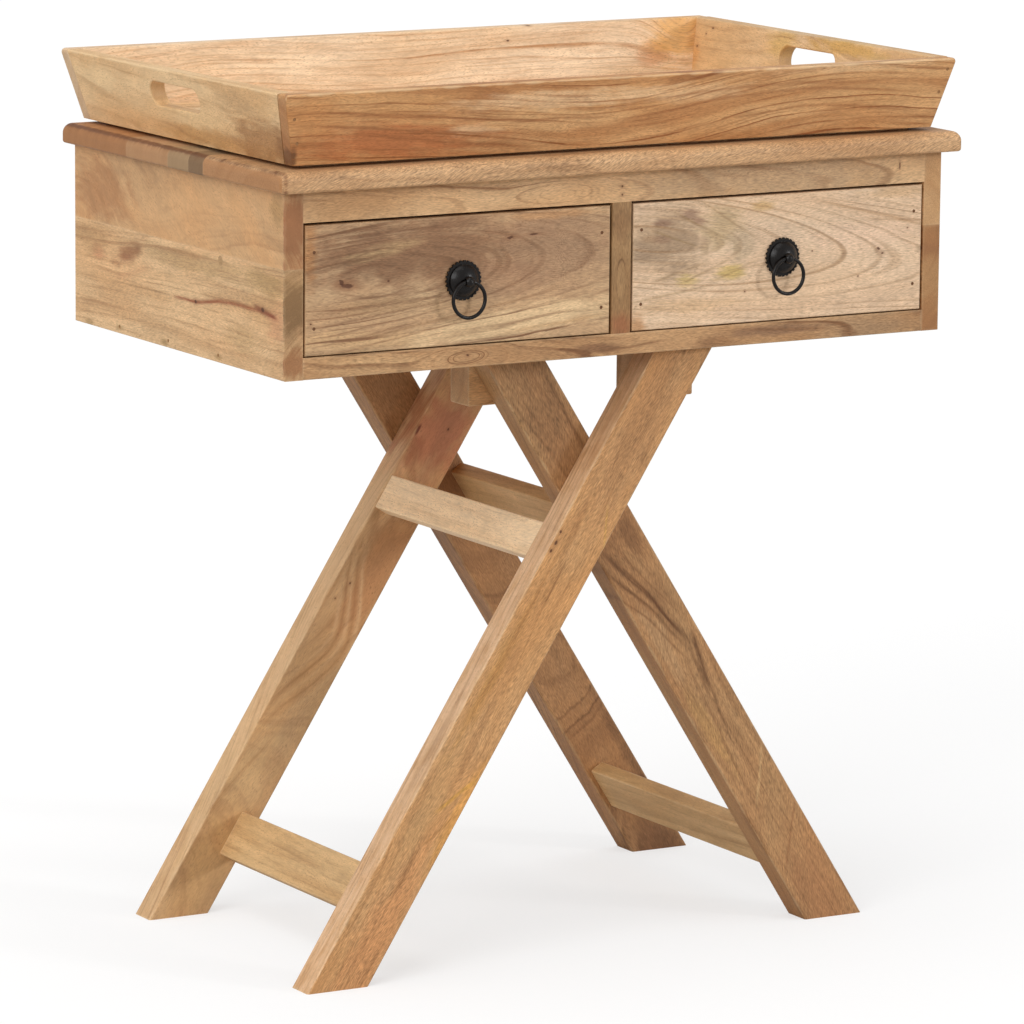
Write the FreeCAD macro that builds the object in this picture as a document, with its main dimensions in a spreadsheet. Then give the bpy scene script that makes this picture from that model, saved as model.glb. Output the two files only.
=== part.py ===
import FreeCAD, Part
import math
import os
import re

import Sketcher
from FreeCAD import Placement, Rotation, Vector

# Side table of solid wood: a loose tray on a tabletop, a case with two drawers, two crossed leg frames.
# Frame: +X to the right, +Y to the back, +Z up. The origin is on the floor, under the middle of the table.
# Units are millimetres.

doc = FreeCAD.newDocument("SideTable")
sheet = doc.addObject("Spreadsheet::Sheet", "Sizes")
derived = doc.addObject("App::VarSet", "Derived")

# Driving sizes: name, value, meaning
SIZES = [
    ("case_width", 628, "case over its two side panels"),
    ("case_depth", 380, "case, front to back"),
    ("case_height", 153, "case, from the leg tops to the tabletop"),
    ("side_thickness", 17, "side panel planks"),
    ("side_lower_plank_height", 90, "lower plank of each side panel"),
    ("bottom_thickness", 18, "bottom planks, whose front edge is the lower rail"),
    ("bottom_front_plank_depth", 205, "front one of the two bottom planks"),
    ("top_rail_height", 26, "rail over the drawers"),
    ("top_rail_depth", 20, "rail over the drawers"),
    ("partition_thickness", 18, "upright board between the drawers"),
    ("back_thickness", 12, "back panel"),
    ("cleat_width", 18, "strips that hold the tabletop"),
    ("case_edge_round", 1, "sanded outer edges of the case"),
    ("plug_radius", 4, "wooden plug in the left side of the case"),
    ("plug_length", 8, "wooden plug"),
    ("plug_rise", 84.5, "wooden plug above the underside of the case"),
    ("plug_setback", 111, "wooden plug behind the front of the case"),
    ("tabletop_thickness", 17, "tabletop planks"),
    ("tabletop_side_overhang", 11, "tabletop beyond each side of the case"),
    ("tabletop_front_overhang", 16, "tabletop in front of the case"),
    ("tabletop_rear_overhang", 4, "tabletop behind the case"),
    ("tabletop_round", 8, "rounded upper edge of the tabletop"),
    ("tabletop_lower_round", 2.5, "sanded lower edge of the tabletop"),
    ("tabletop_corner_round", 5, "rounded upright corners of the tabletop"),
    ("rear_strip_depth", 124, "tabletop strip at the back"),
    ("second_strip_depth", 76, "next tabletop strip"),
    ("third_strip_depth", 37, "next tabletop strip"),
    ("fourth_strip_depth", 26, "next tabletop strip"),
    ("tray_side_margin", 20, "tray's lower edge inside each end of the tabletop"),
    ("tray_front_margin", 19, "tray's lower edge behind the front of the tabletop"),
    ("tray_rear_margin", 3, "tray's lower edge in front of the back of the tabletop"),
    ("tray_height", 59, "tray walls"),
    ("tray_flare", 15, "how far each tray wall leans out over its height"),
    ("tray_wall", 14, "thickness of the tray walls"),
    ("tray_floor_thickness", 10, "tray floor planks, between the walls"),
    ("tray_floor_proud", 3, "tray floor below the walls, so that the tray stands on it"),
    ("tray_front_plank_depth", 180, "front plank of the tray floor, at its lower face"),
    ("tray_edge_round", 1.5, "sanded edges of the tray walls"),
    ("tray_corner_round", 3.5, "rounded upper corners of the front and back walls"),
    ("slot_length", 88, "hand slot over its round ends"),
    ("slot_height", 20, "hand slot"),
    ("slot_rise", 37, "middle of the hand slot above the tray's lower edge"),
    ("tray_nail_inset", 6, "corner nails from the ends of the walls"),
    ("left_nail_low", 18.5, "lower nails of the left corners, above the tray's lower edge"),
    ("left_nail_high", 38.5, "upper nails of the left corners"),
    ("right_nail_low", 30, "lower nails of the right corners, above the tray's lower edge"),
    ("right_nail_high", 49.5, "upper nails of the right corners"),
    ("leg_height", 515, "floor to the underside of the case"),
    ("foot_spread", 560, "over the two feet of an X"),
    ("head_spread", 210, "over the two upper ends of an X"),
    ("leg_width", 48.5, "broad face of a leg"),
    ("leg_thickness", 28, "leg, front to back"),
    ("leg_front_setback", 21, "foremost leg behind the front of the case"),
    ("leg_rear_setback", 15, "rearmost leg in front of the back of the case"),
    ("leg_edge_round", 2, "sanded long edges of the legs"),
    ("stretcher_thickness", 14, "all four stretchers"),
    ("stretcher_edge_round", 1.5, "sanded long edges of the stretchers"),
    ("upper_stretcher_width", 32, "broad face of the upper stretchers"),
    ("upper_stretcher_gap", 28, "upper stretcher below the crossing, along the leg"),
    ("upper_stretcher_inset", 1, "upper stretcher below the leg's upper side"),
    ("lower_stretcher_width", 42, "broad face of the lower stretchers"),
    ("lower_stretcher_reach", 80, "floor to the lower stretcher, along the leg"),
    ("lower_stretcher_inset", 29.5, "lower stretcher below the leg's upper side"),
    ("block_width", 56, "blocks behind the leg tops"),
    ("block_height", 47, "blocks behind the leg tops"),
    ("block_depth", 30, "blocks behind the leg tops"),
    ("block_offset", 44, "inner side of each block from the middle"),
    ("block_edge_round", 1.5, "sanded lower edges of the blocks"),
    ("drawer_side_gap", 2, "drawer front to the case at each side"),
    ("drawer_top_gap", 2.2, "drawer front to the rail above"),
    ("drawer_bottom_gap", 1, "drawer front to the bottom plank"),
    ("drawer_running_gap", 0.3, "drawer sides above the bottom planks"),
    ("drawer_front_thickness", 18, "drawer front"),
    ("drawer_front_round", 1.2, "sanded edges of the drawer front"),
    ("drawer_rear_gap", 20, "drawer in front of the back panel"),
    ("drawer_side_height", 90, "drawer sides"),
    ("drawer_side_thickness", 14, "drawer sides"),
    ("drawer_side_inset", 1, "drawer sides inside the ends of the front"),
    ("drawer_back_thickness", 12, "drawer back"),
    ("drawer_bottom_thickness", 5, "drawer bottom"),
    ("drawer_bottom_rise", 8, "drawer bottom above the lower edge of the sides"),
    ("groove_depth", 6, "groove that holds the drawer bottom"),
    ("drawer_nail_margin", 22, "drawer nails from the upper and lower edge of the front"),
    ("pull_offset", 3, "pulls to the right of the middle of the drawer fronts"),
    ("rosette_radius", 16.5, "toothed plate of the pull"),
    ("rosette_thickness", 2, "toothed plate of the pull"),
    ("rosette_edge_round", 0.5, "front edge of the plate"),
    ("rosette_teeth", 27, "teeth around the plate"),
    ("notch_radius", 1.15, "notch between two teeth"),
    ("knob_radius", 13.2, "domed base of the knob"),
    ("knob_rim", 1.2, "straight rim under the dome"),
    ("knob_dome", 6.4, "height of the dome over its rim"),
    ("nose_radius", 4.4, "nose of the knob, which holds the ring"),
    ("eye_reach", 10.8, "ring hole in front of the drawer front"),
    ("eye_radius", 2.6, "ring hole"),
    ("stud_radius", 2, "stud of the knob, through the drawer front"),
    ("stud_spare", 3, "stud behind its nut"),
    ("stud_clearance", 0.1, "stud in the plate and in the drawer front"),
    ("ring_radius", 14.8, "ring, to the middle of its wire"),
    ("ring_wire_radius", 1.55, "wire of the ring"),
    ("nut_width", 7, "nut, across its flats"),
    ("nut_thickness", 3.2, "nut"),
    ("nut_clearance", 0.05, "nut on the stud"),
    ("nail_head_radius", 1.4, "nail head"),
    ("nail_head_thickness", 0.8, "nail head"),
    ("nail_radius", 0.9, "nail shank"),
    ("nail_length", 34, "nail under its head"),
    ("nail_sink", 0.3, "nail head below the wood"),
    ("side_nail_rise", 6, "side nails above the underside of the case"),
    ("side_nail_front_margin", 115, "foremost side nail behind the front of the case"),
    ("side_nail_rear_margin", 85, "rearmost side nail in front of the back of the case"),
    ("screw_head_radius", 4, "countersunk screw head"),
    ("screw_radius", 2, "screw shank"),
    ("screw_length", 45, "screw, with its head"),
    ("cleat_screw_length", 36, "screws through the cleats into the tabletop"),
    ("screw_tip", 4, "pointed end of a screw"),
    ("screw_sink", 0.3, "screw head below the wood"),
    ("crossing_screw_spread", 26, "between the two screws of a crossing"),
    ("block_screw_margin", 16, "screws from the ends of a block"),
    ("leg_screw_drop", 14, "upper leg screw under the case"),
    ("leg_screw_spread", 18, "between the heights of the two leg screws"),
    ("cleat_screw_margin", 70, "first and last cleat screw from the front and back of the case"),
    ("dowel_radius", 3, "dowel"),
    ("dowel_length", 24, "dowel"),
    ("dowel_margin", 9, "dowels from the long edges of a stretcher"),
    ("fastener_clearance", 0.05, "hole round a nail, screw or dowel"),
]

# Values that follow from the driving sizes
DERIVED = [
    ("inner_width", "case_width - 2 * side_thickness"),
    ("case_top", "leg_height + case_height"),
    ("floor_level", "leg_height + bottom_thickness"),
    ("rail_level", "case_top - top_rail_height"),
    ("tray_level", "case_top + tabletop_thickness + tray_floor_proud"),
    ("back_face", "case_depth / 2 - back_thickness"),
    ("cleat_screw_spread", "case_depth - 2 * cleat_screw_margin"),
    ("side_nail_spacing", "(case_depth - side_nail_front_margin - side_nail_rear_margin) / 2"),
    ("side_nail_start", "case_depth / 2 - side_nail_front_margin"),
    ("tabletop_front", "-case_depth / 2 - tabletop_front_overhang"),
    ("tabletop_width", "case_width + 2 * tabletop_side_overhang"),
    ("tabletop_depth", "case_depth + tabletop_front_overhang + tabletop_rear_overhang"),
    ("tray_bottom_width", "tabletop_width - 2 * tray_side_margin"),
    ("tray_bottom_depth", "tabletop_depth - tray_front_margin - tray_rear_margin"),
    ("tray_middle", "tabletop_front + tray_front_margin + tray_bottom_depth / 2"),
    ("wall_cut", "tray_wall * sqrt(tray_height * tray_height + tray_flare * tray_flare) / tray_height"),
    ("floor_flare", "tray_flare * tray_floor_thickness / tray_height"),
    ("leg_run", "(foot_spread + head_spread) / 2"),
    ("leg_reach", "sqrt(leg_run * leg_run + leg_height * leg_height)"),
    ("lean", "acos(leg_width / leg_reach) - atan(leg_height / leg_run)"),
    ("leg_cut", "leg_width / cos(lean)"),
    ("crossing_reach", "(foot_spread - leg_cut) / (2 * sin(lean))"),
    ("upper_stretcher_reach", "crossing_reach - upper_stretcher_gap - upper_stretcher_width"),
    ("crossing_level", "leg_height * (foot_spread - leg_cut) / (2 * leg_run - 2 * leg_cut)"),
    ("front_leg_face", "-case_depth / 2 + leg_front_setback"),
    ("rear_leg_back", "case_depth / 2 - leg_rear_setback"),
    ("frames_middle", "(front_leg_face + rear_leg_back) / 2"),
    ("frame_gap", "rear_leg_back - front_leg_face - 3 * leg_thickness"),
    ("drawer_opening", "(inner_width - partition_thickness) / 2"),
    ("drawer_middle", "(drawer_opening + partition_thickness) / 2"),
    ("drawer_width", "drawer_opening - 2 * drawer_side_gap"),
    ("drawer_front_level", "floor_level + drawer_bottom_gap"),
    ("drawer_front_height", "rail_level - floor_level - drawer_top_gap - drawer_bottom_gap"),
    ("drawer_box_level", "floor_level + drawer_running_gap"),
    ("drawer_box_front", "-case_depth / 2 + drawer_front_thickness"),
    ("drawer_box_depth", "case_depth - drawer_front_thickness - back_thickness - drawer_rear_gap"),
    ("drawer_inner_width", "drawer_width - 2 * drawer_side_inset - 2 * drawer_side_thickness"),
    ("pull_level", "drawer_front_level + drawer_front_height / 2"),
    ("knob_crown_radius", "(knob_radius * knob_radius + knob_dome * knob_dome) / (2 * knob_dome)"),
]

# How far a hole runs out of the wood, and the play allowed when places are compared
OVERRUN = 5
TOUCH = 0.001

# Where the screws of a row stand along it
ROW_SHARES = (-0.5, 0, 0.5)
PAIR_SHARES = (-0.5, 0.5)


def fill_sheet():
    """Write each driving size into the sheet under its own name."""
    for row, (name, value, meaning) in enumerate(SIZES, start=1):
        sheet.set(f"A{row}", meaning)
        sheet.set(f"B{row}", str(value))
        sheet.setAlias(f"B{row}", name)
    doc.recompute()


def fill_derived():
    """Bind each derived value to its formula."""
    for name, text in DERIVED:
        derived.addProperty("App::PropertyFloat", name, "Derived")
        derived.setExpression(name, formula(text))
    doc.recompute()


SIZE_NAMES = {name for name, _, _ in SIZES}
DERIVED_NAMES = {name for name, _ in DERIVED}


def formula(text):
    """Point every size name in a formula at the sheet, and every derived name at its value."""

    def pointed(match):
        word = match.group(0)
        if word in SIZE_NAMES:
            return "Sizes." + word
        if word in DERIVED_NAMES:
            return "Derived." + word
        return word

    return re.sub(r"[a-z][a-z_]*", pointed, text)


def value(name):
    """The number behind a size or a derived name."""
    if name in SIZE_NAMES:
        return float(sheet.get(name))
    return float(getattr(derived, name))


def worth(text):
    """The number that a formula comes to."""
    return float(derived.evalExpression(formula(text)))


def new_body(label, place=("0", "0", "0"), turned=False):
    """A body at a place given by three formulas, turned half round the upright axis if asked."""
    body = doc.addObject("PartDesign::Body", label)
    body.Label = label
    if turned:
        body.Placement = Placement(Vector(), Rotation(Vector(0, 0, 1), 180))
    for axis, text in zip("xyz", place):
        body.setExpression("Placement.Base." + axis, formula(text))
    return body


def attach(feature, body, role, offset="0"):
    """Lay a feature on one of its body's own origin planes, moved along the plane's normal."""
    plane = next(item for item in body.Origin.OriginFeatures if item.Role == role)
    feature.AttachmentSupport = [(plane, "")]
    feature.MapMode = "FlatFace"
    feature.setExpression("AttachmentOffset.Base.z", formula(offset))


def sketch_on(body, role, offset="0"):
    """An empty sketch on an origin plane of the body."""
    sketch = body.newObject("Sketcher::SketchObject", body.Label + "_sketch")
    attach(sketch, body, role, offset)
    return sketch


def pin_point(sketch, geometry, point, x_text, y_text):
    """Hold a point of the sketch at a place given by two formulas."""
    for kind, text in (("DistanceX", x_text), ("DistanceY", y_text)):
        index = sketch.addConstraint(Sketcher.Constraint(kind, -1, 1, geometry, point, worth(text)))
        sketch.setExpression(f"Constraints[{index}]", formula(text))


def outline(body, role, points, offset="0"):
    """A closed outline of straight lines through points given as pairs of formulas."""
    sketch = sketch_on(body, role, offset)
    draw_outline(sketch, points)
    return sketch


def draw_outline(sketch, points, centres=None):
    """Draw lines through pinned points, and an arc from each point that has a centre on the first axis."""
    first = len(sketch.Geometry)
    count = len(points)
    places = [Vector(worth(x_text), worth(y_text), 0) for x_text, y_text in points]
    for index, start in enumerate(places):
        end = places[(index + 1) % count]
        if centres and index in centres:
            sketch.addGeometry(arc_about(Vector(worth(centres[index]), 0, 0), start, end))
        else:
            sketch.addGeometry(Part.LineSegment(start, end))
    for index, (x_text, y_text) in enumerate(points):
        following = first + (index + 1) % count
        sketch.addConstraint(Sketcher.Constraint("Coincident", first + index, 2, following, 1))
        pin_point(sketch, first + index, 1, x_text, y_text)
    for index in centres or ():
        sketch.addConstraint(Sketcher.Constraint("PointOnObject", first + index, 3, -1))


def arc_about(centre, start, end):
    """The arc about a centre that runs left round from start to end."""
    first, last = start - centre, end - centre
    circle = Part.Circle(centre, Vector(0, 0, 1), first.Length)
    return Part.ArcOfCircle(circle, math.atan2(first.y, first.x), math.atan2(last.y, last.x))


def pad(body, sketch, length, reverse=False):
    """Raise a sketch into a solid."""
    feature = body.newObject("PartDesign::Pad", body.Label + "_pad")
    feature.Profile = sketch
    feature.Reversed = reverse
    feature.setExpression("Length", formula(length))
    sketch.Visibility = False
    body.Tip = feature
    doc.recompute()
    return feature


def pocket_through(body, sketch):
    """Cut a sketch right through the body, both ways from its plane."""
    before = body.Shape.Volume
    feature = body.newObject("PartDesign::Pocket", body.Label + "_pocket")
    feature.Profile = sketch
    feature.Type = 1
    feature.Midplane = True
    body.Tip = feature
    doc.recompute()
    if not feature.Shape.Volume < before:
        raise RuntimeError(body.Label + ": a pocket cut nothing")
    return feature


def soften(body, feature, radius, chosen):
    """Round the edges of a feature that the test picks."""
    names = [f"Edge{index}" for index, edge in enumerate(feature.Shape.Edges, start=1) if chosen(edge)]
    fillet = body.newObject("PartDesign::Fillet", body.Label + "_fillet")
    fillet.Base = (feature, names)
    fillet.setExpression("Radius", formula(radius))
    body.Tip = fillet
    doc.recompute()
    return fillet


def runs(edge, axis):
    """Whether a straight edge runs along X, Y or Z."""
    ends = [vertex.Point for vertex in edge.Vertexes]
    if len(ends) < 2:
        return False
    step = ends[1] - ends[0]
    across = [abs(part) for index, part in enumerate(step) if "XYZ"[index] != axis]
    return max(across) < TOUCH


def lies_on(edge, box, sides):
    """Whether an edge lies on every named side of a box, such as "ZMax"."""
    return all(
        abs(getattr(edge.BoundBox, end) - getattr(box, side)) < TOUCH
        for side in sides
        for end in (side[0] + "Min", side[0] + "Max")
    )


def on_sides(feature, *choices):
    """A test for edges given as (axis that they run along, sides that they lie on)."""
    box = feature.Shape.BoundBox
    return lambda edge: any(runs(edge, axis) and lies_on(edge, box, sides) for axis, sides in choices)


def board(label, sizes, corner):
    """A square-edged board: its three sizes and its lower front left corner are formulas."""
    length, depth, height = sizes
    body = new_body(label, corner)
    corners = [("0", "0"), (length, "0"), (length, depth), ("0", depth)]
    pad(body, outline(body, "XY_Plane", corners), height)
    return body


def cut_with(label, piece, *tools):
    """Take each tool out of a piece, and give the piece that remains its own name."""
    for index, tool in enumerate(tools, start=1):
        last = index == len(tools)
        result = doc.addObject("Part::Cut", label if last else f"{label}_cut_{index}")
        result.Base = piece
        result.Tool = tool
        doc.recompute()
        if not result.Shape.Volume < piece.Shape.Volume:
            raise RuntimeError(f"{label}: {tool.Label} took nothing away")
        piece = result
    piece.Label = label
    return piece


# Fasteners

def turned_about_middle(point, direction):
    """The same place and direction in the other leg frame, half a turn about the middle of the frames."""
    place = Vector(-point.x, 2 * value("frames_middle") - point.y, point.z)
    return place, Vector(-direction.x, -direction.y, direction.z)


def aimed(shape, point, direction):
    """Lay a shape made along +Z from the origin at a point, along a direction."""
    shape.Placement = Placement(point, Rotation(Vector(0, 0, 1), direction))
    return shape


def nail(point, direction, extra):
    """A nail whose head starts at a point, driven along a direction, grown sideways by extra."""
    thickness = value("nail_head_thickness")
    head = Part.makeCylinder(value("nail_head_radius") + extra, thickness)
    shank = Part.makeCylinder(value("nail_radius") + extra, value("nail_length"), Vector(0, 0, thickness))
    return aimed(head.fuse(shank).removeSplitter(), point, direction)


def screw(point, direction, extra, length_name="screw_length"):
    """A countersunk screw whose head starts at a point, with a pointed end, grown sideways by extra."""
    head_radius = value("screw_head_radius") + extra
    radius = value("screw_radius") + extra
    length = value(length_name)
    cone = head_radius - radius
    tip_start = length - value("screw_tip")
    profile = Part.makePolygon([
        Vector(),
        Vector(head_radius, 0, 0),
        Vector(radius, 0, cone),
        Vector(radius, 0, tip_start),
        Vector(0, 0, length),
        Vector(),
    ])
    return aimed(Part.Face(profile).revolve(Vector(), Vector(0, 0, 1), 360), point, direction)


def dowel(point, direction, extra):
    """A dowel centred on a point along a direction, grown sideways by extra."""
    length = value("dowel_length")
    rod = Part.makeCylinder(value("dowel_radius") + extra, length, Vector(0, 0, -length / 2))
    return aimed(rod, point, direction)


def fasteners(label, maker, places, head=None):
    """Equal fasteners as separate solids in one node, and the holes that they need.

    The name of a head radius makes each hole run on from the head out of the wood.
    """
    group = doc.addObject("Part::Feature", label)
    group.Label = label
    group.Shape = Part.makeCompound([maker(point, direction, 0) for point, direction in places])
    clearance = value("fastener_clearance")
    cuts = [maker(point, direction, clearance) for point, direction in places]
    if head:
        radius = value(head) + clearance
        cuts += [Part.makeCylinder(radius, OVERRUN, point, -direction) for point, direction in places]
    holes = doc.addObject("Part::Feature", label + "_holes")
    holes.Shape = Part.makeCompound(cuts)
    return group, holes


# Tray

def flared(label, lower, upper, height, level="tray_level"):
    """A board with flat faces between a lower and an upper rectangle, each (x from, x to, y from, y to)."""
    body = new_body(label, ("0", "tray_middle", level))
    wedge = body.newObject("PartDesign::AdditiveWedge", label + "_wedge")
    attach(wedge, body, "XZ_Plane")
    names = ("Xmin", "Xmax", "Zmax", "Zmin", "X2min", "X2max", "Z2max", "Z2min")
    signs = ("", "", "-", "-", "", "", "-", "-")
    # The wedge's own Z runs towards the front, so front and back change their sign
    for name, sign, text in zip(names, signs, lower + upper):
        wedge.setExpression(name, formula(f"{sign}({text})"))
    wedge.setExpression("Ymin", formula("0"))
    wedge.setExpression("Ymax", formula(height))
    body.Tip = wedge
    doc.recompute()
    return body, wedge


def tray_nail_places():
    """Two nails in each corner, through the long wall into the end board."""
    places = []
    for end, level_names in ((-1, ("left_nail_low", "left_nail_high")), (1, ("right_nail_low", "right_nail_high"))):
        for rise in map(value, level_names):
            flare = value("tray_flare") * rise / value("tray_height")
            x = value("tray_bottom_width") / 2 - value("tray_nail_inset") + flare
            y = value("tray_bottom_depth") / 2 + flare - value("nail_sink")
            for side in (-1, 1):
                point = Vector(end * x, side * y + value("tray_middle"), value("tray_level") + rise)
                places.append((point, Vector(0, -side, 0)))
    return places


def tray_long_wall(label, front, holes):
    """Front or back wall, full length, with its ends flush with the end boards."""
    half, top_half = "tray_bottom_depth / 2", "tray_bottom_depth / 2 + tray_flare"
    low_ends = ("-tray_bottom_width / 2", "tray_bottom_width / 2")
    high_ends = ("-tray_bottom_width / 2 - tray_flare", "tray_bottom_width / 2 + tray_flare")
    if front:
        low = (f"-({half})", f"-({half}) + wall_cut")
        high = (f"-({top_half})", f"-({top_half}) + wall_cut")
    else:
        low = (f"{half} - wall_cut", half)
        high = (f"{top_half} - wall_cut", top_half)
    body, wedge = flared(label + "_blank", low_ends + low, high_ends + high, "tray_height")
    corners = soften(body, wedge, "tray_corner_round", lambda edge: is_upper_corner(edge, wedge))
    upper = corners.Shape.BoundBox.ZMax
    soften(body, corners, "tray_edge_round", lambda edge: runs(edge, "X") and edge.BoundBox.ZMin > upper - TOUCH)
    return cut_with(label, body, holes)


def is_upper_corner(edge, wall):
    """Whether an edge crosses the wall at one of its two upper ends."""
    return runs(edge, "Y") and edge.BoundBox.ZMin > wall.Shape.BoundBox.ZMax - TOUCH


def slot_sketch(body):
    """A hand slot with half-round ends, on the upright plane that runs front to back."""
    sketch = sketch_on(body, "YZ_Plane")
    radius = worth("slot_height / 2")
    half = worth("slot_length / 2") - radius
    upright = Vector(0, 0, 1)
    left_middle = Vector(-half, value("slot_rise"), 0)
    right_middle = Vector(half, value("slot_rise"), 0)
    up = Vector(0, radius, 0)
    top, bottom, right, left = 0, 1, 2, 3
    sketch.addGeometry(Part.LineSegment(left_middle + up, right_middle + up))
    sketch.addGeometry(Part.LineSegment(right_middle - up, left_middle - up))
    right_circle = Part.Circle(right_middle, upright, radius)
    left_circle = Part.Circle(left_middle, upright, radius)
    sketch.addGeometry(Part.ArcOfCircle(right_circle, -math.pi / 2, math.pi / 2))
    sketch.addGeometry(Part.ArcOfCircle(left_circle, math.pi / 2, 3 * math.pi / 2))
    joins = [(top, 2, right, 2), (right, 1, bottom, 1), (bottom, 2, left, 2), (left, 1, top, 1)]
    for join in joins:
        sketch.addConstraint(Sketcher.Constraint("Tangent", *join))
    sketch.addConstraint(Sketcher.Constraint("Equal", right, left))
    pin_point(sketch, right, 3, "slot_length / 2 - slot_height / 2", "slot_rise")
    pin_point(sketch, left, 3, "-slot_length / 2 + slot_height / 2", "slot_rise")
    index = sketch.addConstraint(Sketcher.Constraint("Radius", right, radius))
    sketch.setExpression(f"Constraints[{index}]", formula("slot_height / 2"))
    return sketch


def tray_end(label, left, holes):
    """End board with its hand slot, between the front and back walls."""
    half = "tray_bottom_depth / 2 - wall_cut"
    reach = ("-tray_bottom_width / 2", "-tray_bottom_width / 2 + wall_cut")
    if not left:
        reach = ("tray_bottom_width / 2 - wall_cut", "tray_bottom_width / 2")
    lean = "-tray_flare" if left else "+tray_flare"
    low = (reach[0], reach[1], f"-({half})", half)
    high = (reach[0] + lean, reach[1] + lean, f"-({half}) - tray_flare", f"{half} + tray_flare")
    body, wedge = flared(label + "_blank", low, high, "tray_height")
    slot = pocket_through(body, slot_sketch(body))
    rounded = [edge for edge in slot.Shape.Edges if is_slot_edge(edge)]
    soften(body, slot, "tray_edge_round", lambda edge: any(edge.isSame(other) for other in rounded))
    return cut_with(label, body, holes)


def is_slot_edge(edge):
    """Whether an edge is part of the rim of a hand slot, or a long upper edge of the end board."""
    box = edge.BoundBox
    height = value("tray_height")
    inside = TOUCH < box.ZMin and box.ZMax < height - TOUCH
    through = box.XLength > value("wall_cut") / 2
    upper = runs(edge, "Y") and box.ZMin > height - TOUCH
    return inside and not through or upper


def tray_floor(label, front):
    """A plank of the tray floor, bevelled against the flared walls and upright where it stands proud."""
    x_low = "tray_bottom_width / 2 - wall_cut"
    y_low = "tray_bottom_depth / 2 - wall_cut"
    joint = "-tray_bottom_depth / 2 + wall_cut + tray_front_plank_depth"
    low = (f"-({y_low})", joint) if front else (joint, y_low)
    high = (f"-({y_low}) - floor_flare", joint) if front else (joint, f"{y_low} + floor_flare")
    lower = (f"-({x_low})", x_low) + low
    upper = (f"-({x_low}) - floor_flare", f"{x_low} + floor_flare") + high
    body = flared(label, lower, upper, "tray_floor_thickness")[0]
    corners = [(x, y) for x, y in zip((lower[0], lower[1], lower[1], lower[0]), (low[0], low[0], low[1], low[1]))]
    pad(body, outline(body, "XY_Plane", corners), "tray_floor_proud", True)
    return body


def build_tray():
    """The loose tray: four flared walls, two floor planks and the corner nails."""
    nails, holes = fasteners("tray_corner_nails", nail, tray_nail_places(), "nail_head_radius")
    return [
        tray_long_wall("tray_front_board", True, holes),
        tray_long_wall("tray_back_board", False, holes),
        tray_end("tray_left_end", True, holes),
        tray_end("tray_right_end", False, holes),
        tray_floor("tray_floor_front_plank", True),
        tray_floor("tray_floor_rear_plank", False),
        nails,
    ]


# Tabletop and case

def cleat_screw_places():
    """Three screws up through each cleat into the tabletop."""
    spread = value("cleat_screw_spread")
    x = value("inner_width") / 2 - value("cleat_width") / 2
    level = value("rail_level") + value("screw_sink")
    places = []
    for side in (-1, 1):
        for share in ROW_SHARES:
            places.append((Vector(side * x, share * spread, level), Vector(0, 0, 1)))
    return places


def build_tabletop(screw_holes):
    """Five glued strips that run left to right, rounded round the outside of the top."""
    strips = [
        ("tabletop_plank_1", "rear_strip_depth"),
        ("tabletop_plank_2", "second_strip_depth"),
        ("tabletop_plank_3", "third_strip_depth"),
        ("tabletop_plank_4", "fourth_strip_depth"),
        ("tabletop_plank_5", None),
    ]
    back_edge = "tabletop_front + tabletop_depth"
    pieces = []
    used = "0"
    for label, depth in strips:
        if depth is None:
            depth = f"(tabletop_depth - ({used}))"
        corner = ("-tabletop_width / 2", f"{back_edge} - ({used}) - {depth}", "case_top")
        body = board(label + "_blank", ("tabletop_width", depth, "tabletop_thickness"), corner)
        outer_sides = ["XMin", "XMax"]
        if label == strips[0][0]:
            outer_sides.append("YMax")
        if label == strips[-1][0]:
            outer_sides.append("YMin")
        round_strip(body, outer_sides)
        pieces.append(finish_plank(label, body, screw_holes))
        used = f"{used} + {depth}"
    return pieces


def round_strip(body, outer_sides):
    """Round the outer upright corners of a strip, then its outer edges above and below."""
    corners = [("Z", (x_side, y_side)) for x_side in outer_sides[:2] for y_side in outer_sides[2:]]
    if corners:
        soften(body, body.Tip, "tabletop_corner_round", on_sides(body.Tip, *corners))
    box = body.Tip.Shape.BoundBox
    soften(body, body.Tip, "tabletop_round", lambda edge: is_rim(edge, box, "ZMax", outer_sides))
    soften(body, body.Tip, "tabletop_lower_round", lambda edge: is_rim(edge, box, "ZMin", outer_sides))


def is_rim(edge, box, level, sides):
    """Whether an edge runs round the top or bottom of a strip on the sides named, its round corners too."""
    if not lies_on(edge, box, (level,)):
        return False
    curved = not isinstance(edge.Curve, Part.Line)
    return curved or any(lies_on(edge, box, (side,)) for side in sides)


def finish_plank(label, body, screw_holes):
    """Take the screw holes out of the planks that the screws reach."""
    reached = body.Shape.common(screw_holes.Shape).Volume > 0
    if reached:
        return cut_with(label, body, screw_holes)
    body.Label = label
    return body


def side_nail_places():
    """Three nails through each side panel into the bottom planks, near their lower edge."""
    x = value("case_width") / 2 - value("nail_sink")
    level = value("leg_height") + value("side_nail_rise")
    middle = value("side_nail_spacing") - value("side_nail_start")
    places = []
    for side in (-1, 1):
        for share in ROW_SHARES:
            y = middle + share * 2 * value("side_nail_spacing")
            places.append((Vector(side * x, y, level), Vector(-side, 0, 0)))
    return places


def plug_places():
    """The small wooden plug set into the left side."""
    y = -value("case_depth") / 2 + value("plug_setback")
    return [(Vector(-value("case_width") / 2, y, value("leg_height") + value("plug_rise")), Vector(1, 0, 0))]


def plug(point, direction, extra):
    """A short round plug that starts at a point, grown sideways by extra."""
    return aimed(Part.makeCylinder(value("plug_radius") + extra, value("plug_length")), point, direction)


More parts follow.
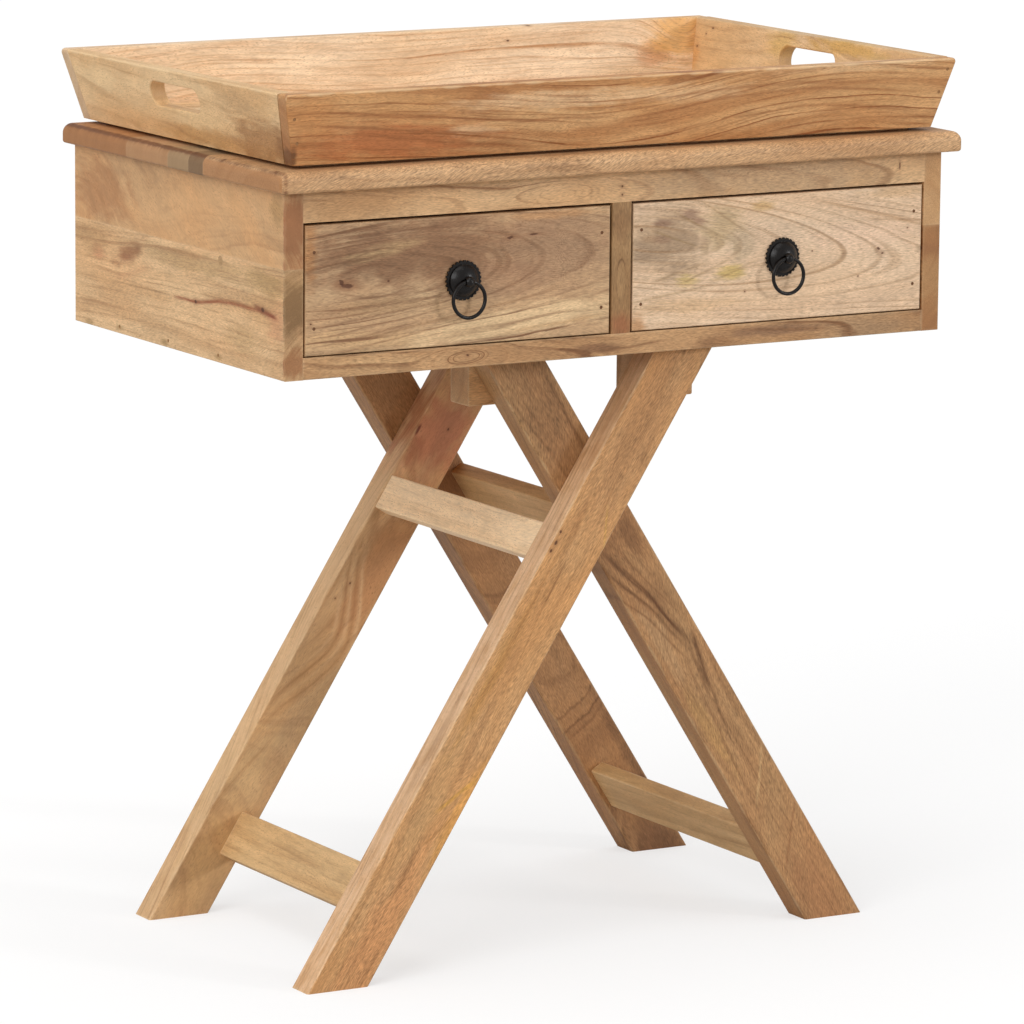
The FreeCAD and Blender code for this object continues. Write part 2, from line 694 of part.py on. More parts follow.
def side_panel(side, holes):
    """Two glued planks with their front ends to the drawers, on the left or the right."""
    x = "-case_width / 2" if side == "left" else "case_width / 2 - side_thickness"
    outer = "XMin" if side == "left" else "XMax"
    lower_sizes = ("side_thickness", "case_depth", "side_lower_plank_height")
    lower = board(f"{side}_side_lower_blank", lower_sizes, (x, "-case_depth / 2", "leg_height"))
    edges = [("Z", (outer, "YMin")), ("Z", (outer, "YMax")), ("Y", (outer, "ZMin"))]
    soften(lower, lower.Tip, "case_edge_round", on_sides(lower.Tip, *edges))
    upper_sizes = ("side_thickness", "case_depth", "case_height - side_lower_plank_height")
    upper_corner = (x, "-case_depth / 2", "leg_height + side_lower_plank_height")
    upper = board(f"{side}_side_upper_plank", upper_sizes, upper_corner)
    soften(upper, upper.Tip, "case_edge_round", on_sides(upper.Tip, *edges[:2]))
    return [cut_with(f"{side}_side_lower_plank", lower, *holes), upper]


def bottom_planks(nail_holes, screw_holes):
    """Two planks across the case, the front one with its edge to the front as the lower rail."""
    front_sizes = ("inner_width", "bottom_front_plank_depth", "bottom_thickness")
    front = board("bottom_front_blank", front_sizes, ("-inner_width / 2", "-case_depth / 2", "leg_height"))
    soften(front, front.Tip, "case_edge_round", on_sides(front.Tip, ("X", ("YMin", "ZMin"))))
    rear_sizes = ("inner_width", "case_depth - bottom_front_plank_depth", "bottom_thickness")
    rear_corner = ("-inner_width / 2", "-case_depth / 2 + bottom_front_plank_depth", "leg_height")
    rear = board("bottom_rear_blank", rear_sizes, rear_corner)
    return [
        cut_with("bottom_front_plank", front, nail_holes, screw_holes),
        cut_with("bottom_rear_plank", rear, nail_holes, screw_holes),
    ]


def centre_partition():
    """Upright board between the drawers, notched at its upper front corner for the rail."""
    body = new_body("centre_partition", ("-partition_thickness / 2", "0", "0"))
    front, back = "-case_depth / 2", "back_face"
    points = [
        (front, "floor_level"),
        (back, "floor_level"),
        (back, "case_top"),
        (front + " + top_rail_depth", "case_top"),
        (front + " + top_rail_depth", "rail_level"),
        (front, "rail_level"),
    ]
    pad(body, outline(body, "YZ_Plane", points), "partition_thickness")
    return body


def build_case(frame_screw_holes):
    """Side panels, rail, bottom planks, partition, back panel and cleats, with the tabletop on them."""
    nails, nail_holes = fasteners("side_nails", nail, side_nail_places(), "nail_head_radius")
    side_plug, plug_holes = fasteners("left_side_plug", plug, plug_places(), "plug_radius")

    def short_screw(point, direction, extra):
        return screw(point, direction, extra, "cleat_screw_length")

    cleat_screws, cleat_holes = fasteners(
        "cleat_screws", short_screw, cleat_screw_places(), "screw_head_radius")
    rail_corner = ("-inner_width / 2", "-case_depth / 2", "rail_level")
    rail = board("top_rail", ("inner_width", "top_rail_depth", "top_rail_height"), rail_corner)
    back_corner = ("-inner_width / 2", "back_face", "floor_level")
    back = board("back_panel", ("inner_width", "back_thickness", "case_top - floor_level"), back_corner)
    cleat_depth = "case_depth - top_rail_depth - back_thickness"
    cleat_sizes = ("cleat_width", cleat_depth, "top_rail_height")
    cleats = []
    for side, x in (("left", "-inner_width / 2"), ("right", "inner_width / 2 - cleat_width")):
        corner = (x, "-case_depth / 2 + top_rail_depth", "rail_level")
        blank = board(f"{side}_cleat_blank", cleat_sizes, corner)
        cleats.append(cut_with(f"{side}_top_cleat", blank, cleat_holes))
    return (
        side_panel("left", [nail_holes, plug_holes])
        + side_panel("right", [nail_holes])
        + bottom_planks(nail_holes, frame_screw_holes)
        + [rail, centre_partition(), back, nails, side_plug, cleat_screws]
        + cleats
        + build_tabletop(cleat_holes)
    )


# Leg frames

def along_leg(distance, depth, y):
    """A point of the left frame: distance up along the leg's upper side, depth square into the leg."""
    lean = math.radians(value("lean"))
    x = -value("foot_spread") / 2 + distance * math.sin(lean) + depth * math.cos(lean)
    return Vector(x, y, distance * math.cos(lean) - depth * math.sin(lean))


def frame_screw_places():
    """Screws of both frames: through the crossings, from blocks to legs, from bottom planks to blocks."""
    sink = value("screw_sink")
    front_crossing = value("front_leg_face") + 2 * value("leg_thickness") - sink
    rear_crossing = value("rear_leg_back") - sink
    places = []
    for share in PAIR_SHARES:
        level = value("crossing_level") + share * value("crossing_screw_spread")
        for y in (front_crossing, rear_crossing):
            places.append((Vector(0, y, level), Vector(0, -1, 0)))
    at_blocks = block_screws(True) + block_screws(False)
    return places + at_blocks + [turned_about_middle(point, direction) for point, direction in at_blocks]


def block_screws(front):
    """Two screws into the leg and two down from the case, for one block of the left frame."""
    sink = value("screw_sink")
    middle = value("block_offset") + value("block_width") / 2
    leg_face = value("front_leg_face") + value("leg_thickness")
    inward = 1
    if not front:
        leg_face += value("frame_gap")
        inward = -1
    head = leg_face + inward * (value("block_depth") - sink)
    block_middle = leg_face + inward * value("block_depth") / 2
    high = value("leg_height") - value("leg_screw_drop")
    low = high - value("leg_screw_spread")
    places = [(Vector(middle, head, level), Vector(0, -inward, 0)) for level in (low, high)]
    half = value("block_width") / 2 - value("block_screw_margin")
    for side in (-1, 1):
        point = Vector(middle + side * half, block_middle, value("floor_level") - sink)
        places.append((point, Vector(0, 0, -1)))
    return places


def stretcher_dowel_places():
    """Two dowels in each end of each stretcher, in line with the depth of the table."""
    front_end = value("front_leg_face") + value("leg_thickness")
    ends = (front_end, front_end + value("frame_gap"))
    places = []
    for name in ("upper", "lower"):
        depth = value(f"{name}_stretcher_inset") + value("stretcher_thickness") / 2
        start = value(f"{name}_stretcher_reach")
        margin = value("dowel_margin")
        stops = (start + margin, start + value(f"{name}_stretcher_width") - margin)
        for y in ends:
            for distance in stops:
                places.append((along_leg(distance, depth, y), Vector(0, 1, 0)))
    return places + [turned_about_middle(point, direction) for point, direction in places]


def frame_place(y_text, turned):
    """Place of a piece of the left frame, or of the same piece turned into the right frame."""
    if turned:
        return ("0", f"2 * frames_middle - ({y_text})", "0")
    return ("0", y_text, "0")


def leg(label, y_text, turned, tools):
    """A leg leaning over to the right, cut level at the floor and under the case."""
    body = new_body(label + "_blank", frame_place(y_text, turned), turned)
    points = [
        ("-foot_spread / 2", "0"),
        ("-foot_spread / 2 + leg_cut", "0"),
        ("head_spread / 2", "leg_height"),
        ("head_spread / 2 - leg_cut", "leg_height"),
    ]
    raised = pad(body, outline(body, "XZ_Plane", points), "leg_thickness", True)
    soften(body, raised, "leg_edge_round", lambda edge: edge.BoundBox.ZLength > value("leg_height") / 2)
    return cut_with(label, body, *tools)


def stretcher(label, name, turned, dowel_holes):
    """A board from the front leg to the rear leg of a frame, laid to the slope of the legs."""
    y_text = "front_leg_face + leg_thickness"
    body = new_body(label + "_blank", frame_place(y_text, turned), turned)
    start, width = f"{name}_stretcher_reach", f"{name}_stretcher_width"
    inset = f"{name}_stretcher_inset"
    corners = [
        (start, inset),
        (start, f"({inset} + stretcher_thickness)"),
        (f"({start} + {width})", f"({inset} + stretcher_thickness)"),
        (f"({start} + {width})", inset),
    ]
    points = [
        (f"-foot_spread / 2 + {along} * sin(lean) + {depth} * cos(lean)",
         f"{along} * cos(lean) - {depth} * sin(lean)")
        for along, depth in corners
    ]
    raised = pad(body, outline(body, "XZ_Plane", points), "frame_gap", True)
    soften(body, raised, "stretcher_edge_round", lambda edge: runs(edge, "Y"))
    return cut_with(label, body, dowel_holes)


def block(label, front, turned, screw_holes):
    """The block between a leg top and the case, on the leg's side that faces the middle."""
    leg_face = "front_leg_face + leg_thickness"
    y_text = leg_face if front else f"{leg_face} + frame_gap - block_depth"
    body = new_body(label + "_blank", frame_place(y_text, turned), turned)
    left, right = "block_offset", "block_offset + block_width"
    low = "leg_height - block_height"
    points = [(left, low), (right, low), (right, "leg_height"), (left, "leg_height")]
    raised = pad(body, outline(body, "XZ_Plane", points), "block_depth", True)
    edges = [("X", ("ZMin", side)) for side in ("YMin", "YMax")]
    edges += [("Y", ("ZMin", side)) for side in ("XMin", "XMax")]
    soften(body, raised, "block_edge_round", on_sides(raised, *edges))
    return cut_with(label, body, screw_holes)


def build_frames():
    """Two equal frames, the right one the left one turned half round, side by side in depth."""
    screws, screw_holes = fasteners("frame_screws", screw, frame_screw_places(), "screw_head_radius")
    dowels, dowel_holes = fasteners("stretcher_dowels", dowel, stretcher_dowel_places())
    pieces = [screws, dowels]
    first_leg = "front_leg_face"
    second_leg = "front_leg_face + leg_thickness + frame_gap"
    for side, turned in (("left", False), ("right", True)):
        near, far = ("rear", "front") if turned else ("front", "rear")
        pieces += [
            leg(f"{side}_frame_{near}_leg", first_leg, turned, (screw_holes, dowel_holes)),
            leg(f"{side}_frame_{far}_leg", second_leg, turned, (screw_holes, dowel_holes)),
            stretcher(f"{side}_frame_upper_stretcher", "upper", turned, dowel_holes),
            stretcher(f"{side}_frame_lower_stretcher", "lower", turned, dowel_holes),
            block(f"{side}_frame_{near}_block", True, turned, screw_holes),
            block(f"{side}_frame_{far}_block", False, turned, screw_holes),
        ]
    return pieces, screw_holes


# Drawers

def pull_body(label, middle):
    """A body whose origin is on the drawer front, in the middle of the pull."""
    return new_body(label, (f"{middle} + pull_offset", "-case_depth / 2", "pull_level"))


def circle_sketch(body, role, circles, offset="0"):
    """Circles given as (x formula, y formula, radius formula)."""
    sketch = sketch_on(body, role, offset)
    for index, (x_text, y_text, radius) in enumerate(circles):
        middle = Vector(worth(x_text), worth(y_text), 0)
        sketch.addGeometry(Part.Circle(middle, Vector(0, 0, 1), worth(radius)))
        pin_point(sketch, index, 3, x_text, y_text)
        constraint = sketch.addConstraint(Sketcher.Constraint("Radius", index, worth(radius)))
        sketch.setExpression(f"Constraints[{constraint}]", formula(radius))
    return sketch


def rosette(label, middle):
    """Round plate with notches all round its edge."""
    body = pull_body(label, middle)
    circles = [("0", "0", "rosette_radius"), ("0", "0", "stud_radius + stud_clearance")]
    plate = pad(body, circle_sketch(body, "XZ_Plane", circles), "rosette_thickness")
    rounded = soften(body, plate, "rosette_edge_round", lambda edge: is_front_rim(edge, plate))
    notch = pocket_through(body, circle_sketch(body, "XZ_Plane", [("rosette_radius", "0", "notch_radius")]))
    pattern = body.newObject("PartDesign::PolarPattern", label + "_teeth")
    pattern.Originals = [notch]
    pattern.Axis = (notch.Profile[0], ["N_Axis"])
    pattern.Angle = 360
    pattern.setExpression("Occurrences", formula("rosette_teeth"))
    body.Tip = pattern
    doc.recompute()
    if not pattern.Shape.Volume < rounded.Shape.Volume:
        raise RuntimeError(label + ": the notches cut nothing")
    return body


def is_front_rim(edge, plate):
    """Whether an edge is the outer rim of the plate's front face."""
    box = plate.Shape.BoundBox
    return edge.BoundBox.YMax < box.YMin + TOUCH and edge.BoundBox.XLength > box.XLength / 2


def knob(label, middle):
    """Domed knob with a nose for the ring, on a stud that goes through the drawer front."""
    body = pull_body(label, middle)
    sketch = sketch_on(body, "YZ_Plane")
    reach = "drawer_front_thickness + nut_thickness + stud_spare"
    base = "-rosette_thickness"
    rim = f"{base} - knob_rim"
    crown_middle = f"{rim} + knob_crown_radius - knob_dome"
    neck = f"{crown_middle} - sqrt(knob_crown_radius * knob_crown_radius - nose_radius * nose_radius)"
    points = [
        (reach, "0"),
        (reach, "stud_radius"),
        (base, "stud_radius"),
        (base, "knob_radius"),
        (rim, "knob_radius"),
        (neck, "nose_radius"),
        ("-eye_reach", "nose_radius"),
        ("-eye_reach - nose_radius", "0"),
    ]
    draw_outline(sketch, points, {4: crown_middle, 6: "-eye_reach"})
    turned = body.newObject("PartDesign::Revolution", label + "_turned")
    turned.Profile = sketch
    turned.ReferenceAxis = (sketch, ["H_Axis"])
    turned.Angle = 360
    body.Tip = turned
    doc.recompute()
    pocket_through(body, circle_sketch(body, "YZ_Plane", [("-eye_reach", "0", "eye_radius")]))
    return body


def nut(label, middle):
    """Hexagon nut on the knob's stud, against the back of the drawer front."""
    body = pull_body(label, middle)
    sketch = circle_sketch(body, "XZ_Plane", [("0", "0", "stud_radius + nut_clearance")],
                           "-drawer_front_thickness")
    corner = "nut_width / sqrt(3)"
    turns = [f"{index} * 60 deg" for index in range(6)]
    draw_outline(sketch, [(f"{corner} * cos({turn})", f"{corner} * sin({turn})") for turn in turns])
    pad(body, sketch, "nut_thickness", True)
    return body


def ring(label, middle):
    """Round wire ring that hangs through the knob's nose."""
    torus = doc.addObject("Part::Torus", label)
    torus.Label = label
    torus.setExpression("Radius1", formula("ring_radius"))
    torus.setExpression("Radius2", formula("ring_wire_radius"))
    torus.Placement = Placement(Vector(), Rotation(Vector(1, 0, 0), 90))
    torus.setExpression("Placement.Base.x", formula(f"{middle} + pull_offset"))
    torus.setExpression("Placement.Base.y", formula("-case_depth / 2 - eye_reach"))
    torus.setExpression("Placement.Base.z", formula("pull_level - ring_radius"))
    doc.recompute()
    return torus


def drawer_nail_places(sign):
    """Four nails through the drawer front into the ends of the sides."""
    half = value("drawer_width") / 2 - value("drawer_side_inset") - value("drawer_side_thickness") / 2
    middle = sign * value("drawer_middle")
    y = -value("case_depth") / 2 + value("nail_sink")
    low = value("drawer_front_level") + value("drawer_nail_margin")
    high = value("drawer_front_level") + value("drawer_front_height") - value("drawer_nail_margin")
    return [
        (Vector(middle + side * half, y, level), Vector(0, 1, 0))
        for side in (-1, 1)
        for level in (low, high)
    ]


def build_drawer(side, sign):
    """Front, two sides, back and bottom, nails, and the pull with its plate, knob, ring and nut."""
    name = f"{side}_drawer"
    middle = f"{sign} * drawer_middle"
    nails, nail_holes = fasteners(f"{name}_nails", nail, drawer_nail_places(sign), "nail_head_radius")
    box_left = f"{middle} - drawer_width / 2 + drawer_side_inset"
    inner_left = f"{box_left} + drawer_side_thickness"
    bottom_sizes = (
        "drawer_inner_width + 2 * groove_depth",
        "drawer_box_depth - drawer_back_thickness + 2 * groove_depth",
        "drawer_bottom_thickness",
    )
    bottom_corner = (
        f"{inner_left} - groove_depth",
        "drawer_box_front - groove_depth",
        "drawer_box_level + drawer_bottom_rise",
    )
    bottom = board(f"{name}_bottom", bottom_sizes, bottom_corner)
    front_corner = (f"{middle} - drawer_width / 2", "-case_depth / 2", "drawer_front_level")
    front_sizes = ("drawer_width", "drawer_front_thickness", "drawer_front_height")
    front = board(f"{name}_front_blank", front_sizes, front_corner)
    edges = [("X", ("YMin", side)) for side in ("ZMin", "ZMax")]
    edges += [("Z", ("YMin", side)) for side in ("XMin", "XMax")]
    soften(front, front.Tip, "drawer_front_round", on_sides(front.Tip, *edges))
    stud_middle = ("drawer_width / 2 + pull_offset", "drawer_front_height / 2")
    stud_circle = [(*stud_middle, "stud_radius + stud_clearance")]
    pocket_through(front, circle_sketch(front, "XZ_Plane", stud_circle))
    side_sizes = ("drawer_side_thickness", "drawer_box_depth", "drawer_side_height")
    right_place = f"{inner_left} + drawer_inner_width"
    side_pieces = []
    for end, x in (("left", box_left), ("right", right_place)):
        blank = board(f"{name}_{end}_blank", side_sizes, (x, "drawer_box_front", "drawer_box_level"))
        side_pieces.append(cut_with(f"{name}_{end}_side", blank, bottom, nail_holes))
    back_sizes = ("drawer_inner_width", "drawer_back_thickness", "drawer_side_height")
    back_y = "drawer_box_front + drawer_box_depth - drawer_back_thickness"
    back = board(f"{name}_back_blank", back_sizes, (inner_left, back_y, "drawer_box_level"))
    return [
        cut_with(f"{name}_front", front, bottom, nail_holes),
        *side_pieces,
        cut_with(f"{name}_back", back, bottom),
        bottom,
        nails,
        rosette(f"{name}_rosette", middle),
        knob(f"{name}_knob", middle),
        ring(f"{name}_ring", middle),
        nut(f"{name}_nut", middle),
    ]


def check_objects():
    """Stop if any object of the document failed."""
    for item in doc.Objects:
        if "Invalid" in item.State or "Error" in item.State:
            raise RuntimeError(f"{item.Label}: {item.State}")


def export(pieces):
    """Check each sub-part and write it to its own file."""
    os.makedirs("parts", exist_ok=True)
    for piece in pieces:
        shape = piece.Shape
        if shape.isNull() or not shape.isValid() or not shape.Solids:
            raise RuntimeError(piece.Label + ": the shape is not a valid solid")
        shape.exportStep(f"parts/{piece.Label}.step")
        print(f"{piece.Label}: {len(shape.Solids)} solid(s), {shape.Volume / 1000:.1f} cm3")
    print(len(pieces), "sub-parts")


fill_sheet()
fill_derived()
frames, frame_holes = build_frames()
sub_parts = build_tray() + build_case(frame_holes) + frames
sub_parts += build_drawer("left", -1) + build_drawer("right", 1)
doc.recompute()
check_objects()
export(sub_parts)
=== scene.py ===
"""Side table of solid wood: lift-off tray, tabletop, case with two drawers, two crossed leg frames."""

import logging
import math
from dataclasses import dataclass
from enum import Enum
from typing import Callable, ClassVar, Iterator, Sequence, Union

import bpy
from bpy.types import Material, NodeSocket, NodeTree, Object, World
from mathutils import Matrix, Vector

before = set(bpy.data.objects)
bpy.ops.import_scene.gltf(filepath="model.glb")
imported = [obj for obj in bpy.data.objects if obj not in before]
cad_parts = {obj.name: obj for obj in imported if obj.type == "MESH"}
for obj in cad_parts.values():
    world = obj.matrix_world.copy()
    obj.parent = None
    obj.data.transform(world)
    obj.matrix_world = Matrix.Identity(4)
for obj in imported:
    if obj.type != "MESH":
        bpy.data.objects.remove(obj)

LOG = logging.getLogger("side_table")
MM = 0.001
Colour = tuple[float, float, float, float]
Pair = tuple[float, float]


def shade(seen: int) -> Colour:
    """Turn a colour as seen on a screen into linear light, by the sRGB curve.

    Args:
        seen: the colour as 0xRRGGBB.

    Returns:
        The linear colour with full alpha.
    """
    channels = [(seen >> shift & 255) / 255 for shift in (16, 8, 0)]
    linear = [c / 12.92 if c <= 0.04045 else ((c + 0.055) / 1.055) ** 2.4 for c in channels]
    return (linear[0], linear[1], linear[2], 1.0)


# Nodes

def operator(operation: str, swapped: bool = False) -> Callable[["Value", "Source"], "Value"]:
    """Make one of the arithmetic signs that a Value understands.

    Args:
        operation: what the Math node does.
        swapped: whether the second term comes first.

    Returns:
        The method that adds the node.
    """

    def step(first: "Value", second: "Source") -> "Value":
        """Add the node for this step."""
        terms = (second, first) if swapped else (first, second)
        return first.recipe.number(operation, *terms)

    return step


class Value:
    """A number, vector, colour or shader that nodes make; numbers take part in arithmetic."""

    def __init__(self, recipe: "Recipe", socket: NodeSocket) -> None:
        """Hold a socket and the recipe it belongs to."""
        self.recipe, self.socket = recipe, socket

    __add__ = __radd__ = operator("ADD")
    __mul__ = __rmul__ = operator("MULTIPLY")
    __sub__, __rsub__ = operator("SUBTRACT"), operator("SUBTRACT", swapped=True)
    __truediv__ = operator("DIVIDE")

    def number(self, operation: str, *terms: "Source") -> "Value":
        """One more step of arithmetic."""
        return self.recipe.number(operation, self, *terms)

    def ease(self, start: "Source", end: "Source", low: float = 0.0, high: float = 1.0) -> "Value":
        """Go smoothly from low to high while this number goes from start to end."""
        spans = {"Value": self, "From Min": start, "From Max": end, "To Min": low, "To Max": high}
        return self.recipe.add("ShaderNodeMapRange", spans, interpolation_type="SMOOTHSTEP")

    def bell(self, steep: float = 1.0) -> "Value":
        """1 where this number is 0, falling away on both sides."""
        return (self * self * -steep).number("EXPONENT")

    def split(self) -> list["Value"]:
        """The three measures of this place."""
        node = self.recipe.add("ShaderNodeSeparateXYZ", {"Vector": self}).socket.node
        return [Value(self.recipe, socket) for socket in node.outputs]

    def noise(self, along: float, across: float, detail: float = 2.0, seed: "Source" = 0.0) -> "Value":
        """Soft noise from 0 to 1 at this place.

        Args:
            along: steps per millimetre along the board.
            across: steps per millimetre across it and in depth.
            detail: how many finer sizes are added.
            seed: shifts it.

        Returns:
            The noise.
        """
        scaled = self.recipe.vector("MULTIPLY", self, (along, across, across))
        moved = self.recipe.vector("ADD", scaled, self.recipe.join(seed, seed))
        return self.recipe.add("ShaderNodeTexNoise", {"Vector": moved, "Scale": 1.0, "Detail": detail})


Source = Union[Value, float, Sequence[float]]
Values = Sequence[Value]


class Recipe:
    """Adds nodes to one tree and joins them."""

    def __init__(self, tree: NodeTree) -> None:
        """Start on a tree."""
        self.tree = tree

    @staticmethod
    def of(block: Union[Material, World]) -> "Recipe":
        """An empty recipe for a material or the sky.

        Args:
            block: what the nodes are for.

        Returns:
            The recipe.
        """
        block.use_nodes = True
        block.node_tree.nodes.clear()
        return Recipe(block.node_tree)

    def feed(self, socket: NodeSocket, source: Source) -> None:
        """Join a socket to what nodes make, or give it a plain value.

        Args:
            socket: an input.
            source: what it gets.
        """
        if isinstance(source, Value):
            self.tree.links.new(source.socket, socket)
        else:
            socket.default_value = source

    def add(self, kind: str, inputs: dict, give: Union[int, str] = 0, **settings: object) -> Value:
        """Add a node.

        Args:
            kind: the node's type.
            inputs: what feeds its sockets, by name or number.
            give: which of its outputs is wanted.
            settings: its other settings.

        Returns:
            What the node makes.
        """
        node = self.tree.nodes.new(kind)
        for name, setting in settings.items():
            setattr(node, name, setting)
        for name, source in inputs.items():
            self.feed(node.inputs[name], source)
        return Value(self, node.outputs[give])

    def number(self, operation: str, *terms: Source) -> Value:
        """One step of arithmetic on numbers."""
        return self.add("ShaderNodeMath", dict(enumerate(terms)), operation=operation)

    def vector(self, operation: str, *terms: Source) -> Value:
        """One step of arithmetic on vectors; DOT_PRODUCT gives a number."""
        give = "Value" if operation == "DOT_PRODUCT" else "Vector"
        return self.add("ShaderNodeVectorMath", dict(enumerate(terms)), give, operation=operation)

    def join(self, along: Source, across: Source) -> Value:
        """A place from two measures."""
        return self.add("ShaderNodeCombineXYZ", {"X": along, "Y": across})

    def blend(self, share: Source, under: Union[Source, int], over: Union[Source, int]) -> Value:
        """Lay one colour over another by a share from 0 to 1; whole numbers are colours as seen."""
        under, over = (shade(colour) if isinstance(colour, int) else colour for colour in (under, over))
        return self.add("ShaderNodeMix", {0: share, 6: under, 7: over}, 2, data_type="RGBA")

    def finish(self, shader: Value, output: str = "ShaderNodeOutputMaterial") -> None:
        """Send a shader to the output."""
        self.feed(self.tree.nodes.new(output).inputs["Surface"], shader)


# Effects shared by the finishes

class Effect:
    """A node group that is built once and placed in each finish with its own values."""

    title: ClassVar[str]
    inputs: ClassVar[tuple[str, ...]]
    outputs: ClassVar[tuple[str, ...]]
    vectors: ClassVar[tuple[str, ...]] = ("Place", "Centre", "Half Size")
    built: ClassVar[dict[str, NodeTree]] = {}

    def draw(self, given: Values) -> Values:
        """Add the group's own nodes.

        Args:
            given: its inputs in their order.

        Returns:
            What feeds its outputs, in their order.
        """
        raise NotImplementedError

    def tree(self) -> NodeTree:
        """The group, built at its first use.

        Returns:
            The node group.
        """
        if self.title not in self.built:
            tree = bpy.data.node_groups.new(self.title, "ShaderNodeTree")
            for way, names in (("INPUT", self.inputs), ("OUTPUT", self.outputs)):
                for name in names:
                    kind = "NodeSocketVector" if name in self.vectors else "NodeSocketFloat"
                    tree.interface.new_socket(name=name, in_out=way, socket_type=kind)
            recipe = Recipe(tree)
            entry, leave = tree.nodes.new("NodeGroupInput"), tree.nodes.new("NodeGroupOutput")
            drawn = self.draw([Value(recipe, entry.outputs[name]) for name in self.inputs])
            for name, value in zip(self.outputs, drawn):
                recipe.feed(leave.inputs[name], value)
            self.built[self.title] = tree
        return self.built[self.title]

    def place(self, recipe: Recipe, *values: Source) -> list[Value]:
        """Put the group into a finish with its values, and give its outputs.

        Args:
            recipe: the finish's tree.
            values: what the inputs get, in their order.

        Returns:
            The outputs in their order.
        """
        node = recipe.tree.nodes.new("ShaderNodeGroup")
        node.node_tree = self.tree()
        for name, source in zip(self.inputs, values):
            recipe.feed(node.inputs[name], source)
        return [Value(recipe, node.outputs[name]) for name in self.outputs]


SPOT = ("Place", "Along", "Across", "Half Length", "Half Width", "Turn")


def ellipse(spot: Values) -> Value:
    """How far a place is from the middle of a turned ellipse.

    Args:
        spot: the inputs named in SPOT.

    Returns:
        0 in the middle and 1 at the rim.
    """
    place, middle_along, middle_across, half_length, half_width, turn = spot
    x, y, _ = place.split()
    along, across = x - middle_along, y - middle_across
    cosine, sine = turn.number("COSINE"), turn.number("SINE")
    straight = (along * cosine + across * sine) / half_length
    square = (across * cosine - along * sine) / half_width
    return (straight * straight + square * square).number("SQRT")


class GrowthRings(Effect):
    """Distance in millimetres from the heart of the tree, which runs under the board."""

    title = "growth rings"
    inputs = ("Place", "Heart Across", "Heart Depth", "Lean Across", "Lean Depth", "Wander", "Seed", "Lift")
    outputs = ("Distance",)

    def draw(self, given: Values) -> Values:
        """Measure from a leaning line and let the rings wander.

        Args:
            given: its inputs in their order.

        Returns:
            The distance.
        """
        place, heart_across, heart_depth, lean_across, lean_depth, wander, seed, lift = given
        along, across, depth = place.split()
        sideways = across - (along * lean_across + heart_across)
        below = depth + (along * lean_depth + heart_depth)
        slow = place.noise(0.008, 0.022, 1.0, seed) - 0.5
        quick = place.noise(0.03, 0.12, 2.0, seed) - 0.5
        raised = (sideways * sideways + below * below).number("SQRT") + lift
        return [(quick * 0.22 + slow) * (wander * 2.0) + raised]


class FigureHill(Effect):
    """A soft rise that bends the rings round a place."""

    title, inputs, outputs = "figure hill", SPOT + ("Height",), ("Lift",)

    def draw(self, given: Values) -> Values:
        """A bell over a turned ellipse."""
        return [ellipse(given[:6]).bell() * given[6]]


class Stain(Effect):
    """A patch with a ragged, streaky rim that follows the grain."""

    title, inputs, outputs = "stain", SPOT + ("Distance", "Strength", "Seed"), ("Share",)

    def draw(self, given: Values) -> Values:
        """Fade a turned ellipse out through noise.

        Args:
            given: its inputs in their order.

        Returns:
            The stain's share.
        """
        place, (distance, strength, seed) = given[0], given[6:]
        lines = place.recipe.join(place.split()[0], distance)
        ragged = lines.noise(0.02, 0.35, 2.0, seed)
        cloud = place.noise(0.05, 0.09, 2.0, seed)
        push = (ragged + cloud - 1.0) * 1.1
        return [(ellipse(given[:6]) + push).ease(1.25, 0.3) * strength]


class RingLines(Effect):
    """Dark late wood of each ring, streaks that follow the rings, and slow light and dark bands."""

    title = "ring lines"
    inputs = ("Place", "Distance", "Spacing", "Seed")
    outputs = ("Late", "Streak", "Band")

    def draw(self, given: Values) -> Values:
        """Turn the distance from the heart into lines of uneven width and strength.

        Args:
            given: its inputs in their order.

        Returns:
            Late wood, streaks and bands.
        """
        place, distance, spacing, seed = given
        flat = place.recipe.join(place.split()[0], distance)
        turns = flat.noise(0.002, 0.06, 1.0, seed) * 3.4 + distance / spacing
        phase, number = turns.number("FRACT"), turns.number("FLOOR")
        lot = place.recipe.add("ShaderNodeTexWhiteNoise", {"W": number}, "Value", noise_dimensions="1D")
        thin = phase.ease(0.68, 0.86) * phase.ease(0.99, 0.91)
        wide = phase.ease(0.0, 0.8) * phase.ease(0.97, 0.83)
        fade = flat.noise(0.014, 0.04, 2.0, seed).ease(0.32, 0.66, 0.15, 1.0)
        late = (thin + wide * 0.22) * (lot * 1.4 + 0.15) * fade
        return [late, flat.noise(0.012, 0.42, 3.0, seed), flat.noise(0.006, 0.07, 2.0, seed)]


